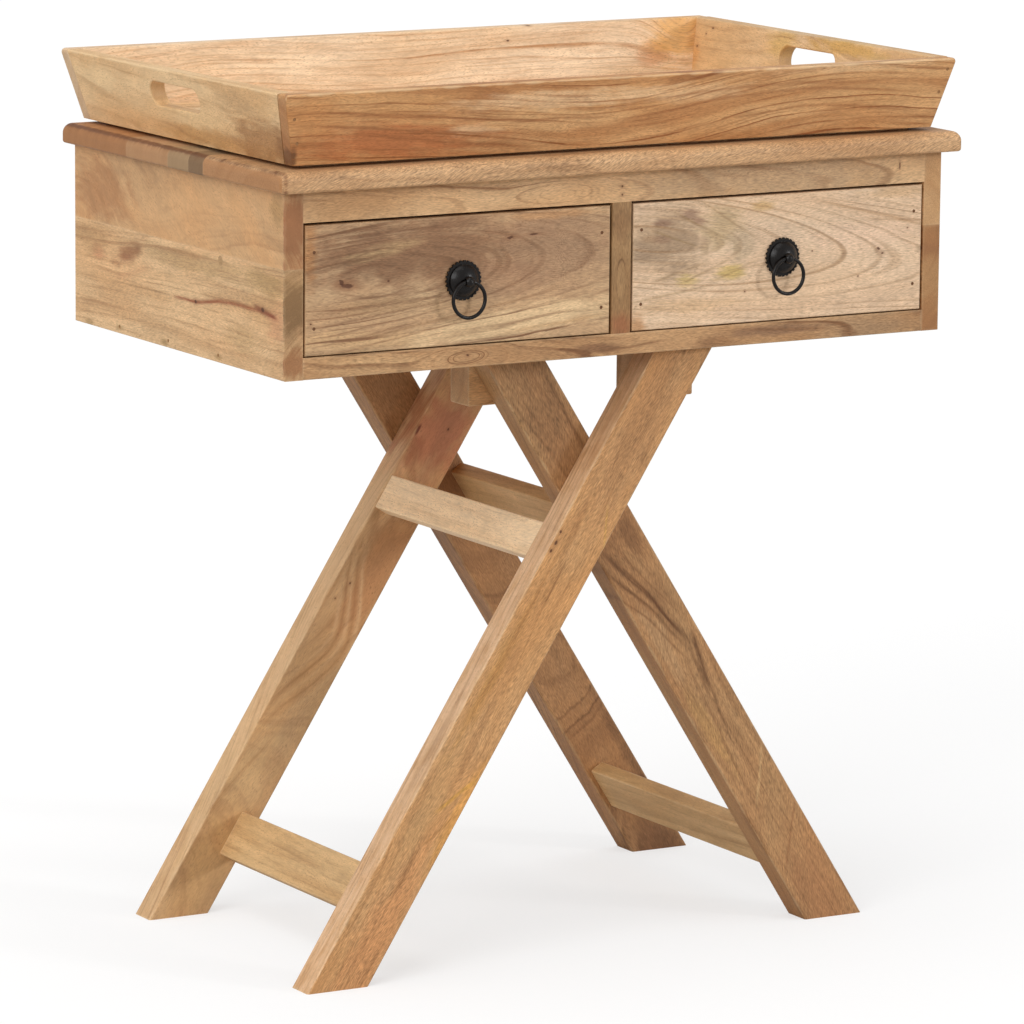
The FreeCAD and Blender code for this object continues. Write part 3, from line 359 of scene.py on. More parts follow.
class Fibre(Effect):
    """Fine fibres, short flecks, open pores, mottling and soft clouds along the grain."""

    title = "fibre"
    inputs = ("Place", "Seed", "Slant")
    outputs = ("Fine", "Stroke", "Fleck", "Mottle", "Cloud", "Pores")

    def draw(self, given: Values) -> Values:
        """Stretch noise and cells along the grain, which may run aslant over the board.

        Args:
            given: its inputs in their order.

        Returns:
            Five sizes of noise and the pores.
        """
        place, seed, slant = given
        recipe = place.recipe
        sway = place.noise(0.011, 0.02, 1.0, seed) * 22.0
        spin = {"Vector": place, "Angle": slant * -1.0}
        turned = recipe.add("ShaderNodeVectorRotate", spin, rotation_type="Z_AXIS")
        place = recipe.vector("ADD", turned, recipe.join(0.0, sway))
        steps = ((0.09, 1.9, 2.0), (0.19, 1.25, 1.0), (0.11, 0.5, 2.0), (0.045, 0.11, 3.0), (0.007, 0.022, 2.0))
        sizes = [place.noise(*step, seed) for step in steps]
        cells = recipe.vector("MULTIPLY", place, (0.22, 1.25, 1.25))
        dots = recipe.add("ShaderNodeTexVoronoi", {"Vector": cells, "Scale": 1.0}, "Distance")
        pores = dots.ease(0.34, 0.14) * sizes[3].ease(0.35, 0.6, 0.25, 1.0)
        return [*sizes, pores]


class Vein(Effect):
    """A dark or light band that runs over the board, straight or over a rise."""

    title, inputs, outputs = "vein", SPOT + ("Rise", "Reach", "Seed", "Strength"), ("Share",)

    def draw(self, given: Values) -> Values:
        """Fade a band out on both sides of its path and at its ends.

        Args:
            given: its inputs in their order.

        Returns:
            The band's share.
        """
        place, middle_along, middle_across, half_length, half_width, turn, rise, reach, seed, strength = given
        x, across, _ = place.split()
        along = x - middle_along
        path = along * turn.number("TANGENT") + middle_across + (along / reach).bell() * rise
        slow = place.noise(0.025, 0.02, 2.0, seed) - 0.5
        off = (across - (slow * (half_width * 2.2) + path)) / half_width
        grain = place.recipe.join(along, off * half_width).noise(0.02, 0.5, 3.0, seed)
        ends = (along / half_length).number("ABSOLUTE").ease(1.0, 0.45)
        return [off.bell() * ends * grain.ease(0.2, 0.6, 0.45, 1.0) * strength]


class Knot(Effect):
    """A dark knot or crack with a brown rim."""

    title, inputs, outputs = "knot", SPOT, ("Core", "Rim")

    def draw(self, given: Values) -> Values:
        """A turned ellipse with a rough outline."""
        far = (given[0].noise(0.35, 0.5, 3.0) - 0.5) * 0.9 + ellipse(given)
        return [far.ease(1.0, 0.55), far.bell(0.3)]


class Ripple(Effect):
    """Short light and dark bars across the grain, in a patch."""

    title, inputs, outputs = "ripple", SPOT + ("Pitch", "Seed"), ("Wave",)

    def draw(self, given: Values) -> Values:
        """A wavering sine over a bell.

        Args:
            given: its inputs in their order.

        Returns:
            The wave.
        """
        place, (pitch, seed) = given[0], given[6:]
        turns = place.split()[0] / pitch + place.noise(0.05, 0.12, 2.0, seed) * 9.0
        return [(turns * math.tau).number("SINE") * ellipse(given[:6]).bell()]


class EdgeWearAndHighlight(Effect):
    """Where a board's edges are painted pale: partly rubbed wear, partly a painted highlight where light catches the
    edges.
    """

    title = "edge wear"
    inputs = ("Place", "Centre", "Half Size", "Width", "Seed")
    outputs = ("Wear",)

    def draw(self, given: Values) -> Values:
        """Measure to the nearest edge of the board's box and break the rim up with noise.

        Args:
            given: its inputs in their order.

        Returns:
            How much is rubbed pale and painted as highlight.
        """
        place, centre, half_size, width, seed = given
        recipe = place.recipe
        offset = recipe.vector("ABSOLUTE", recipe.vector("SUBTRACT", place, centre))
        one, two, three = recipe.vector("SUBTRACT", half_size, offset).split()
        edges = [a.number("MAXIMUM", b) for a, b in ((one, two), (two, three), (one, three))]
        nearest = edges[0].number("MINIMUM", edges[1]).number("MINIMUM", edges[2])
        reach = width * place.noise(0.05, 0.12, 3.0, seed).ease(0.3, 0.7, 0.35, 1.5)
        return [nearest.ease(reach, 0.0)]


# What a board looks like

@dataclass(frozen=True)
class Mark:
    """A place on a board's face, in millimetres; turns are in degrees, colours as seen."""

    along: float
    across: float
    half_length: float
    half_width: float

    def spot(self, place: Value) -> list[Source]:
        """What the inputs named in SPOT get."""
        turn = math.radians(getattr(self, "turn", 0.0))
        return [place, self.along, self.across, self.half_length, self.half_width, turn]


@dataclass(frozen=True)
class Hill(Mark):
    """A place that the rings bend round."""

    height: float
    turn: float = 0.0


@dataclass(frozen=True)
class Patch(Mark):
    """A stained place."""

    colour: int
    strength: float = 0.6
    turn: float = 0.0


@dataclass(frozen=True)
class Band(Mark):
    """A band that runs over the board, lifted by rise over the length of reach."""

    colour: int
    strength: float = 0.6
    turn: float = 0.0
    rise: float = 0.0
    reach: float = 60.0


@dataclass(frozen=True)
class Dark(Mark):
    """A knot, a speck or, where it is long and thin, a crack."""

    turn: float = 0.0
    rim: float = 0.5


@dataclass(frozen=True)
class Bars(Mark):
    """Bars of light and dark across the grain."""

    pitch: float
    strength: float = 0.06


@dataclass(frozen=True)
class Figure:
    """How a board was cut from its log: where the heart ran across and below it, and what shows how much."""

    heart: Pair = (0.0, 120.0)
    lean: Pair = (0.0, 0.05)
    spacing: float = 7.0
    wander: float = 4.0
    seed: float = 0.0
    lines: float = 0.4
    streaks: float = 0.45
    bands: float = 0.55
    flecks: float = 0.34
    slant: float = 0.0
    clouds: float = 0.6
    # how strongly the edges are painted pale, as rubbed wear and as painted highlight
    rub_and_highlight: float = 0.22
    side_flecks: float = 1.0


@dataclass(frozen=True)
class WoodTone:
    """The colours of a board, as seen, and its sheen."""

    pale: int
    warm: int
    band: int
    late: int
    # pale colour of the edges, both rubbed wood and painted highlight
    worn_and_lit: int = 0xE8CCA2
    pore: int = 0x684A2E
    end: int = 0x967048
    knot: int = 0x4E2C1C
    knot_rim: int = 0x845638
    roughness: float = 0.52
    end_share: float = 0.38


class Lie(Enum):
    """How a board's length and width run through the table; its face looks outwards."""

    FRONT = ((1, 0, 0), (0, 0, 1))
    FRONT_UPRIGHT = ((0, 0, 1), (-1, 0, 0))
    BACK = ((-1, 0, 0), (0, 0, 1))
    TOP = ((1, 0, 0), (0, 1, 0))
    TOP_FRONT_TO_BACK = ((0, 1, 0), (-1, 0, 0))
    LEFT = ((0, -1, 0), (0, 0, 1))
    RIGHT = ((0, 1, 0), (0, 0, 1))


@dataclass(frozen=True)
class Axes:
    """Where a board's own measures start, in millimetres, and how they run."""

    start: Sequence[float]
    along: Sequence[float]
    across: Sequence[float]

    @staticmethod
    def of(lie: Lie, start: Sequence[float] = (0, 0, 0)) -> "Axes":
        """Axes of a board that lies square to the table."""
        return Axes(start, *lie.value)

    def turned(self) -> Matrix:
        """The turn from the board's measures to the table's."""
        along, across = Vector(self.along), Vector(self.across)
        return Matrix((along, across, along.cross(across))).transposed()


class Board:
    """One wooden piece of the table with its look."""

    def __init__(self, node: str, axes: Axes, tone: WoodTone, *marks: Mark, **figure: Union[float, Pair]) -> None:
        """Keep what the finish needs.

        Args:
            node: the piece's name.
            axes: how it lies.
            tone: its colours.
            marks: the marks on its face.
            figure: what differs from a plain Figure.
        """
        self.node, self.axes, self.tone, self.marks, self.figure = node, axes, tone, marks, Figure(**figure)

    def of(self, kind: type[Mark]) -> list[Mark]:
        """Its marks of one kind."""
        return [mark for mark in self.marks if isinstance(mark, kind)]

    def dress(self) -> None:
        """Give the piece its wood and report it."""
        WoodFinish(self).apply(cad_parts[self.node])
        LOG.info("%s: wood along the board", self.node)


def wear(piece: Object, material: Material) -> None:
    """Put one material on every slot of a piece.

    Args:
        piece: the piece.
        material: what it gets.
    """
    piece.data.materials.clear()
    piece.data.materials.append(material)
    for polygon in piece.data.polygons:
        polygon.material_index = 0


class WoodFinish:
    """Oiled wood with rings, fibres, pores, knots and rubbed edges painted pale, partly as highlight, laid out along
    one board.
    """

    PORE_SHARE, KNOT_SHARE = 0.42, 0.8
    FINE_SHARE, STROKE_SHARE, MOTTLE_SHARE = 0.3, 2.5, 0.4  # a stroke counts by the board's flecks
    END_CALM = 0.8  # how much weaker lines and streaks are on an end face
    RIM_WIDTH = 2.2  # millimetres of rubbed edge, also painted highlight
    PORE_DEPTH, KNOT_DEPTH, FIBRE_HEIGHT, LATE_HEIGHT, BAR_HEIGHT = 0.7, 0.8, 0.4, 0.22, 0.3
    RELIEF = {"Strength": 0.55, "Distance": 0.0003}
    PORE_ROUGH, FIBRE_ROUGH, RUBBED_SMOOTH = 0.14, 0.16, 0.06
    GLOSS = 0.28

    def __init__(self, board: Board) -> None:
        """Measure the board in its own axes, with depth zero on its face.

        Args:
            board: the board to finish.
        """
        self.board = board
        turn = board.axes.turned()
        start = Vector(board.axes.start)
        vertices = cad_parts[board.node].data.vertices
        places = [turn.transposed() @ (v.co / MM - start) for v in vertices]
        low = Vector(min(p[i] for p in places) for i in range(3))
        high = Vector(max(p[i] for p in places) for i in range(3))
        self.origin = start + turn @ Vector((0, 0, high.z))
        self.centre = (low + high) / 2 - Vector((0, 0, high.z))
        self.half_size = (high - low) / 2

    def apply(self, piece: Object) -> None:
        """Build the material and put it on the piece.

        Args:
            piece: the board's mesh.
        """
        material = bpy.data.materials.new(piece.name + "_wood")
        recipe = Recipe.of(material)
        recipe.finish(self.surface(recipe, self.measures(recipe)))
        wear(piece, material)

    def measures(self, recipe: Recipe) -> Value:
        """Millimetres along, across and below the board's face, whatever pose the table is in.

        Args:
            recipe: the material's tree.

        Returns:
            The place.
        """
        table = recipe.add("ShaderNodeTexCoord", {}, "Object")
        turn = self.board.axes.turned().to_euler("XYZ")
        spans = {"Vector": table, "Location": self.origin * MM, "Rotation": turn, "Scale": (MM, MM, MM)}
        return recipe.add("ShaderNodeMapping", spans, vector_type="TEXTURE")

    def faces(self, recipe: Recipe) -> list[Value]:
        """Masks of the board's end faces and of its side faces.

        Args:
            recipe: the material's tree.

        Returns:
            The two masks.
        """
        facing = recipe.add("ShaderNodeTexCoord", {}, "Normal")
        masks = []
        for way in (self.board.axes.along, self.board.axes.across):
            square = recipe.vector("DOT_PRODUCT", facing, way).number("ABSOLUTE")
            masks.append(square.ease(0.6, 0.85))
        return masks

    def surface(self, recipe: Recipe, place: Value) -> Value:
        """Lay the colours over each other and add the sheen and the relief.

        Args:
            recipe: the material's tree.
            place: the board's own measures.

        Returns:
            The shader.
        """
        board, figure, tone, seed = self.board, self.board.figure, self.board.tone, self.board.figure.seed
        lift: Source = 0.0
        for hill in board.of(Hill):
            lift = FigureHill().place(recipe, *hill.spot(place), hill.height)[0] + lift
        distance = GrowthRings().place(recipe, place, *figure.heart, *figure.lean, figure.wander, seed, lift)[0]
        late, streak, band = RingLines().place(recipe, place, distance, figure.spacing, seed)
        fine, stroke, fleck, mottle, cloud, pores = Fibre().place(recipe, place, seed, math.radians(figure.slant))
        colour = recipe.blend(cloud.ease(0.36, 0.64), tone.pale, tone.warm)
        colour = recipe.blend(band.ease(0.42, 0.66, 0.0, figure.bands), colour, tone.band)
        for patch in board.of(Patch):
            share = Stain().place(recipe, *patch.spot(place), distance, patch.strength, seed + patch.along)[0]
            colour = recipe.blend(share, colour, patch.colour)
        for vein in board.of(Band):
            bent = (vein.rise, vein.reach, seed + vein.across, vein.strength)
            colour = recipe.blend(Vein().place(recipe, *vein.spot(place), *bent)[0], colour, vein.colour)
        end, beside = self.faces(recipe)
        shown = end * -self.END_CALM + 1.0
        colour = recipe.blend(streak.ease(0.5, 0.76, 0.0, figure.streaks) * shown, colour, tone.late)
        colour = recipe.blend(late * figure.lines * shown, colour, tone.late)
        calm = beside * (figure.side_flecks - 1.0) + 1.0
        light: Source = 1.0
        flecks, strokes = figure.flecks, figure.flecks * self.STROKE_SHARE
        strengths = (self.FINE_SHARE, strokes, flecks, self.MOTTLE_SHARE, figure.clouds)
        for effect, strength in zip((fine, stroke, fleck, mottle, cloud), strengths):
            light = (effect - 0.5) * (calm * strength) + light
        relief = pores * -self.PORE_DEPTH + fine * self.FIBRE_HEIGHT + late * self.LATE_HEIGHT
        for bars in board.of(Bars):
            wave = Ripple().place(recipe, *bars.spot(place), bars.pitch, seed)[0]
            light, relief = wave * bars.strength + light, wave * self.BAR_HEIGHT + relief
        colour = recipe.vector("MULTIPLY", colour, light)
        colour = recipe.blend(pores * self.PORE_SHARE, colour, tone.pore)
        colour = recipe.blend(end * tone.end_share, colour, tone.end)
        rubbed_and_lit = EdgeWearAndHighlight().place(recipe, place, self.centre, self.half_size, self.RIM_WIDTH, seed)[0]
        # Painted highlight: the pale worn colour laid on the edges stands partly for rubbed wood and partly for light
        # catching the edges.
        colour = recipe.blend(rubbed_and_lit * figure.rub_and_highlight, colour, tone.worn_and_lit)
        for dark in board.of(Dark):
            core, rim = Knot().place(recipe, *dark.spot(place))
            colour = recipe.blend(rim * dark.rim, colour, tone.knot_rim)
            colour = recipe.blend(core * self.KNOT_SHARE, colour, tone.knot)
            relief = core * -self.KNOT_DEPTH + relief
        rough = pores * self.PORE_ROUGH + (fine - 0.5) * self.FIBRE_ROUGH
        rough = rough + rubbed_and_lit * -self.RUBBED_SMOOTH + tone.roughness
        return recipe.add("ShaderNodeBsdfPrincipled", {
            "Base Color": colour, "Roughness": rough, "Specular IOR Level": self.GLOSS,
            "Normal": recipe.add("ShaderNodeBump", {**self.RELIEF, "Height": relief}),
        })


class MetalSkin(Effect):
    """Uneven forged skin: soft dents, fine grain and patches where the blacking has rubbed thin."""

    title, inputs, outputs = "metal skin", ("Place", "Seed"), ("Dents", "Grain", "Thin")

    def draw(self, given: Values) -> Values:
        """Three sizes of noise in millimetres.

        Args:
            given: its inputs in their order.

        Returns:
            Dents, grain and thin places.
        """
        sizes = ((0.45, 1.0), (3.0, 3.0), (0.9, 3.0))
        dents, grain, thin = (given[0].noise(size, size, detail, given[1]) for size, detail in sizes)
        return [dents, grain, thin.ease(0.56, 0.72)]


@dataclass(frozen=True)
class MetalFinish:
    """Metal with a dark skin that lets some of the bare metal through."""

    name: str
    skin: int
    bare: int
    roughness: float
    metallic: float
    specular: float
    seed: float
    BARE_SHARE: ClassVar[float] = 0.4

    def material(self) -> Material:
        """The finish as a material, made once for each name.

        Returns:
            The material.
        """
        if self.name in bpy.data.materials:
            return bpy.data.materials[self.name]
        material = bpy.data.materials.new(self.name)
        recipe = Recipe.of(material)
        table = recipe.add("ShaderNodeTexCoord", {}, "Object")
        place = recipe.vector("MULTIPLY", table, (1 / MM, 1 / MM, 1 / MM))
        dents, grain, thin = MetalSkin().place(recipe, place, self.seed)
        relief = {"Strength": 0.35, "Distance": 0.0004, "Height": grain * 0.15 + dents}
        recipe.finish(recipe.add("ShaderNodeBsdfPrincipled", {
            "Base Color": recipe.blend(thin * self.BARE_SHARE, self.skin, self.bare), "Metallic": self.metallic,
            "Roughness": (grain - 0.5) * 0.2 + self.roughness, "Specular IOR Level": self.specular,
            "Normal": recipe.add("ShaderNodeBump", relief),
        }))
        return material

    def dress(self, node: str) -> None:
        """Put the finish on a piece and report it."""
        wear(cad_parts[node], self.material())
        LOG.info("%s: %s", node, self.name)


BLACK_IRON = MetalFinish("black_iron_skin", 0x110E0D, 0x2E241E, 0.3, 0.0, 0.26, 1.0)
DARK_NAIL = MetalFinish("dark_nail_skin", 0x68442A, 0x825C3E, 0.6, 0.0, 0.3, 2.0)
FILLED_NAIL = MetalFinish("filled_nail_skin", 0x926A44, 0xA67E56, 0.65, 0.0, 0.25, 2.5)
ZINC_SCREW = MetalFinish("zinc_screw_skin", 0x96948E, 0xBEBCB6, 0.34, 0.9, 0.5, 3.0)

HONEY = WoodTone(0xDEB484, 0xC69664, 0xAC7C50, 0x8C5E38)
CREAM = WoodTone(0xE8C89E, 0xDAB68A, 0xC89E72, 0xA67C54)
GREYISH = WoodTone(0xCCAC82, 0xB8946A, 0x9E7A54, 0x7E5C3E)


# Sub-assemblies

@dataclass
class Tray:
    """The loose tray: four flared walls, a two-plank floor and corner nails."""

    lower_front: float = -187.0
    lower_rear: float = 191.0
    lower_end: float = 305.0
    rear_corner: float = 206.0
    front_corner: float = -202.0
    level: float = 688.0
    flare: float = 15.0
    height: float = 59.0

    def lean(self) -> tuple[float, float]:
        """Sine and cosine of the walls' lean."""
        slope = math.hypot(self.flare, self.height)
        return self.flare / slope, self.height / slope

    def front(self) -> Board:
        """Front wall, whose streaks dip in the middle and arch over the right half.

        Returns:
            The board.
        """
        sine, cosine = self.lean()
        axes = Axes((0, self.lower_front, self.level), (1, 0, 0), (0, -sine, cosine))
        tone = WoodTone(0xD6A672, 0xC6925E, 0xB47E4E, 0x925C34, end=0x845836)
        line = 0x8E5832
        return Board(
            "tray_front_board", axes, tone, Hill(-30, 20, 120, 200, 16), Hill(210, 20, 110, 200, -12),
            Patch(-215, 16, 105, 17, 0xAE683C, 0.85), Patch(-60, 44, 110, 9, 0xE4BE92, 0.75),
            Patch(-145, 22, 28, 5, 0xDEB68A, 0.7), Patch(-300, 36, 40, 30, 0xBE804A, 0.5),
            Patch(60, 44, 60, 9, 0xE0B88A), Patch(210, 58, 90, 6, 0xDEB688), Patch(250, 34, 50, 12, 0xC29462, 0.5),
            Patch(-306, 5, 4, 12, 0x543826, 0.8), Band(-190, 36, 140, 1.6, line, 0.7, -5),
            Band(-215, 26, 105, 1.5, line, 0.75, -5.5), Band(-170, 14, 100, 1.8, line, 0.7, -7),
            Band(-60, 26, 60, 1.4, line, 0.6, 0, 2, 25), Band(120, 38, 190, 1.6, line, 0.5, 2, 8, 110),
            Band(185, 18, 110, 1.4, line, 0.55, 0, 8), Band(170, 30, 150, 1.5, line, 0.55, 0, 11, 100),
            Band(-40, 57, 270, 2.0, 0xB07A4C, 0.5), Bars(-62, 17, 24, 9, 5.5, 0.08), Bars(40, 22, 50, 14, 8.0, 0.03),
            heart=(-90, 60), lean=(0, 0), seed=3.1, lines=0.95, streaks=0.7, bands=0.85, flecks=0.28, clouds=0.4,
            rub_and_highlight=0.5,
        )

    def back(self) -> Board:
        """Back wall, seen from inside: pale, with an orange right end.

        Returns:
            The board.
        """
        sine, cosine = self.lean()
        axes = Axes((0, self.lower_rear, self.level), (-1, 0, 0), (0, sine, cosine))
        tone = WoodTone(0xEED2B0, 0xE2C29C, 0xD4AE86, 0xBA8A5E)
        return Board(
            "tray_back_board", axes, tone, Hill(180, 40, 90, 90, -9), Hill(-290, 42, 34, 26, 24),
            Patch(-258, 26, 20, 12, 0xCC8654), Patch(-285, 44, 36, 30, 0xDEAA64, 0.8),
            Patch(-304, 36, 12, 26, 0xC8904E), Patch(130, 34, 60, 12, 0xF6DAB6), Dark(-132, 58, 2.6, 1.0),
            Dark(-109, 45, 1.6, 0.9), Dark(-318, 30, 2.4, 1.6), heart=(-60, 90), lean=(0, 0.02), spacing=5, wander=3,
            seed=5.7, lines=0.75, streaks=0.6, flecks=0.18, clouds=0.3, rub_and_highlight=0.5,
        )

    def end(self, left: bool) -> Board:
        """An end wall with its hand slot.

        Args:
            left: which of the two.

        Returns:
            The board.
        """
        sine, cosine = self.lean()
        if left:
            axes = Axes((-self.lower_end, self.rear_corner, self.level), (0, -1, 0), (-sine, 0, cosine))
            tone = WoodTone(0xE8C494, 0xDAB280, 0xCCA06E, 0xAC7E50)
            return Board(
                "tray_left_end", axes, tone, Patch(250, 8, 120, 9, 0xBC884E, 0.7),
                Patch(350, 16, 60, 22, 0x9E7044, 0.8), Patch(384, 12, 16, 26, 0x845832, 0.7),
                Patch(110, 10, 90, 9, 0xD4A470, 0.5), Patch(318, 44, 40, 12, 0xB8946A),
                Patch(60, 40, 60, 18, 0xE8C898), Patch(240, 24, 60, 10, 0xE4C08E), Bars(322, 26, 90, 40, 11, 0.07),
                Bars(330, 24, 70, 36, 4.5, 0.04), heart=(-40, 110), spacing=8, wander=5, seed=8.3, lines=0.25,
                streaks=0.3, slant=4, flecks=0.12, clouds=0.4, rub_and_highlight=0.5,
            )
        axes = Axes((self.lower_end, self.front_corner, self.level), (0, 1, 0), (sine, 0, cosine))
        tone = WoodTone(0xDEBC92, 0xCEA87A, 0xBE9466, 0xA07448)
        return Board(
            "tray_right_end", axes, tone, Hill(240, 44, 60, 20, 12), Patch(150, 52, 60, 9, 0xCCA054, 0.8),
            Patch(250, 46, 26, 14, 0xCAA460, 0.7), Patch(335, 40, 60, 30, 0xC49E72, 0.5),
            Patch(386, 20, 12, 18, 0xC48E54, 0.7), Patch(90, 44, 26, 10, 0xC4A470), Dark(382, 32, 1.6, 1.0),
            Dark(363, 50, 1.6, 1.0), Dark(372, 44, 1.0, 0.8), Bars(200, 40, 100, 24, 6), heart=(90, 80), spacing=6,
            wander=5, seed=11.9, lines=0.25, streaks=0.4, flecks=0.16, rub_and_highlight=0.5,
        )

    def dress(self) -> None:
        """Dress every piece of the tray."""
        for board in (self.front(), self.back(), self.end(True), self.end(False)):
            board.dress()
        for node, seed in (("tray_floor_front_plank", 21.0), ("tray_floor_rear_plank", 23.5)):
            Board(
                node, Axes.of(Lie.TOP), CREAM, Hill(60, -60, 160, 60, 26, 4), Hill(-150, 90, 120, 50, 22),
                Dark(-120, -40, 4, 2.4), Dark(170, 60, 3, 2), heart=(40, 40), spacing=9, wander=9, seed=seed,
                lines=0.55, rub_and_highlight=0.0,
            ).dress()
        FILLED_NAIL.dress("tray_corner_nails")


@dataclass
class Tabletop:
    """Five glued strips, whose joints show in the rounded left end, which carries a painted shadow of the tray's
    flared wall.
    """

    strips: tuple[tuple[WoodTone, float], ...] = (
        (WoodTone(0xBE8B5E, 0xB27F54, 0xA26F47, 0x825334, end=0x9C6B42, end_share=0.75), 31.0),
        (WoodTone(0xC8A077, 0xBE946D, 0xAC825E, 0x8A6243, end=0xA87B52, end_share=0.75), 37.3),
        (WoodTone(0xBA9D78, 0xAE916C, 0x9C7F5C, 0x7C5F43, end=0x9A7B58, end_share=0.8), 41.9),
        (WoodTone(0x9A7F60, 0x927556, 0x826548, 0x684D35, end=0x7C5F41, end_share=0.8), 46.2),
        (WoodTone(0xCBA277, 0xB99067, 0xA67B53, 0x855B38, end=0xA57348, end_share=0.75), 53.8),
    )
    end: float = 325.0
    # how far in from the end the painted shadow band lies, in millimetres
    painted_shade_inset: float = 4.0
    front_heart: float = 640.0
    rear_heart: float = -230.0
    heart_step: float = 30.0

    def dress(self) -> None:
        """Dress the strips from the rear one to the front one."""
        for number, (tone, seed) in enumerate(self.strips, start=1):
            front = number == len(self.strips)
            heart = self.front_heart if front else self.rear_heart + self.heart_step * number
            # Painted shadow: a dark band over the rounded left end stands in for the shade cast by the tray's flared
            # wall.
            painted_shade_at_left_end = Patch(-self.end + self.painted_shade_inset, 0, 3.4, 900, 0x6C442A, 0.95)
            Board(
                f"tabletop_plank_{number}", Axes.of(Lie.FRONT if front else Lie.TOP), tone, painted_shade_at_left_end,
                heart=(heart, 50), lean=(0, 0.04), spacing=8, wander=8, seed=seed, lines=0.2, streaks=0.3,
                slant=20 if front else 0, flecks=0.6 if front else 0.2, rub_and_highlight=0.05,
            ).dress()


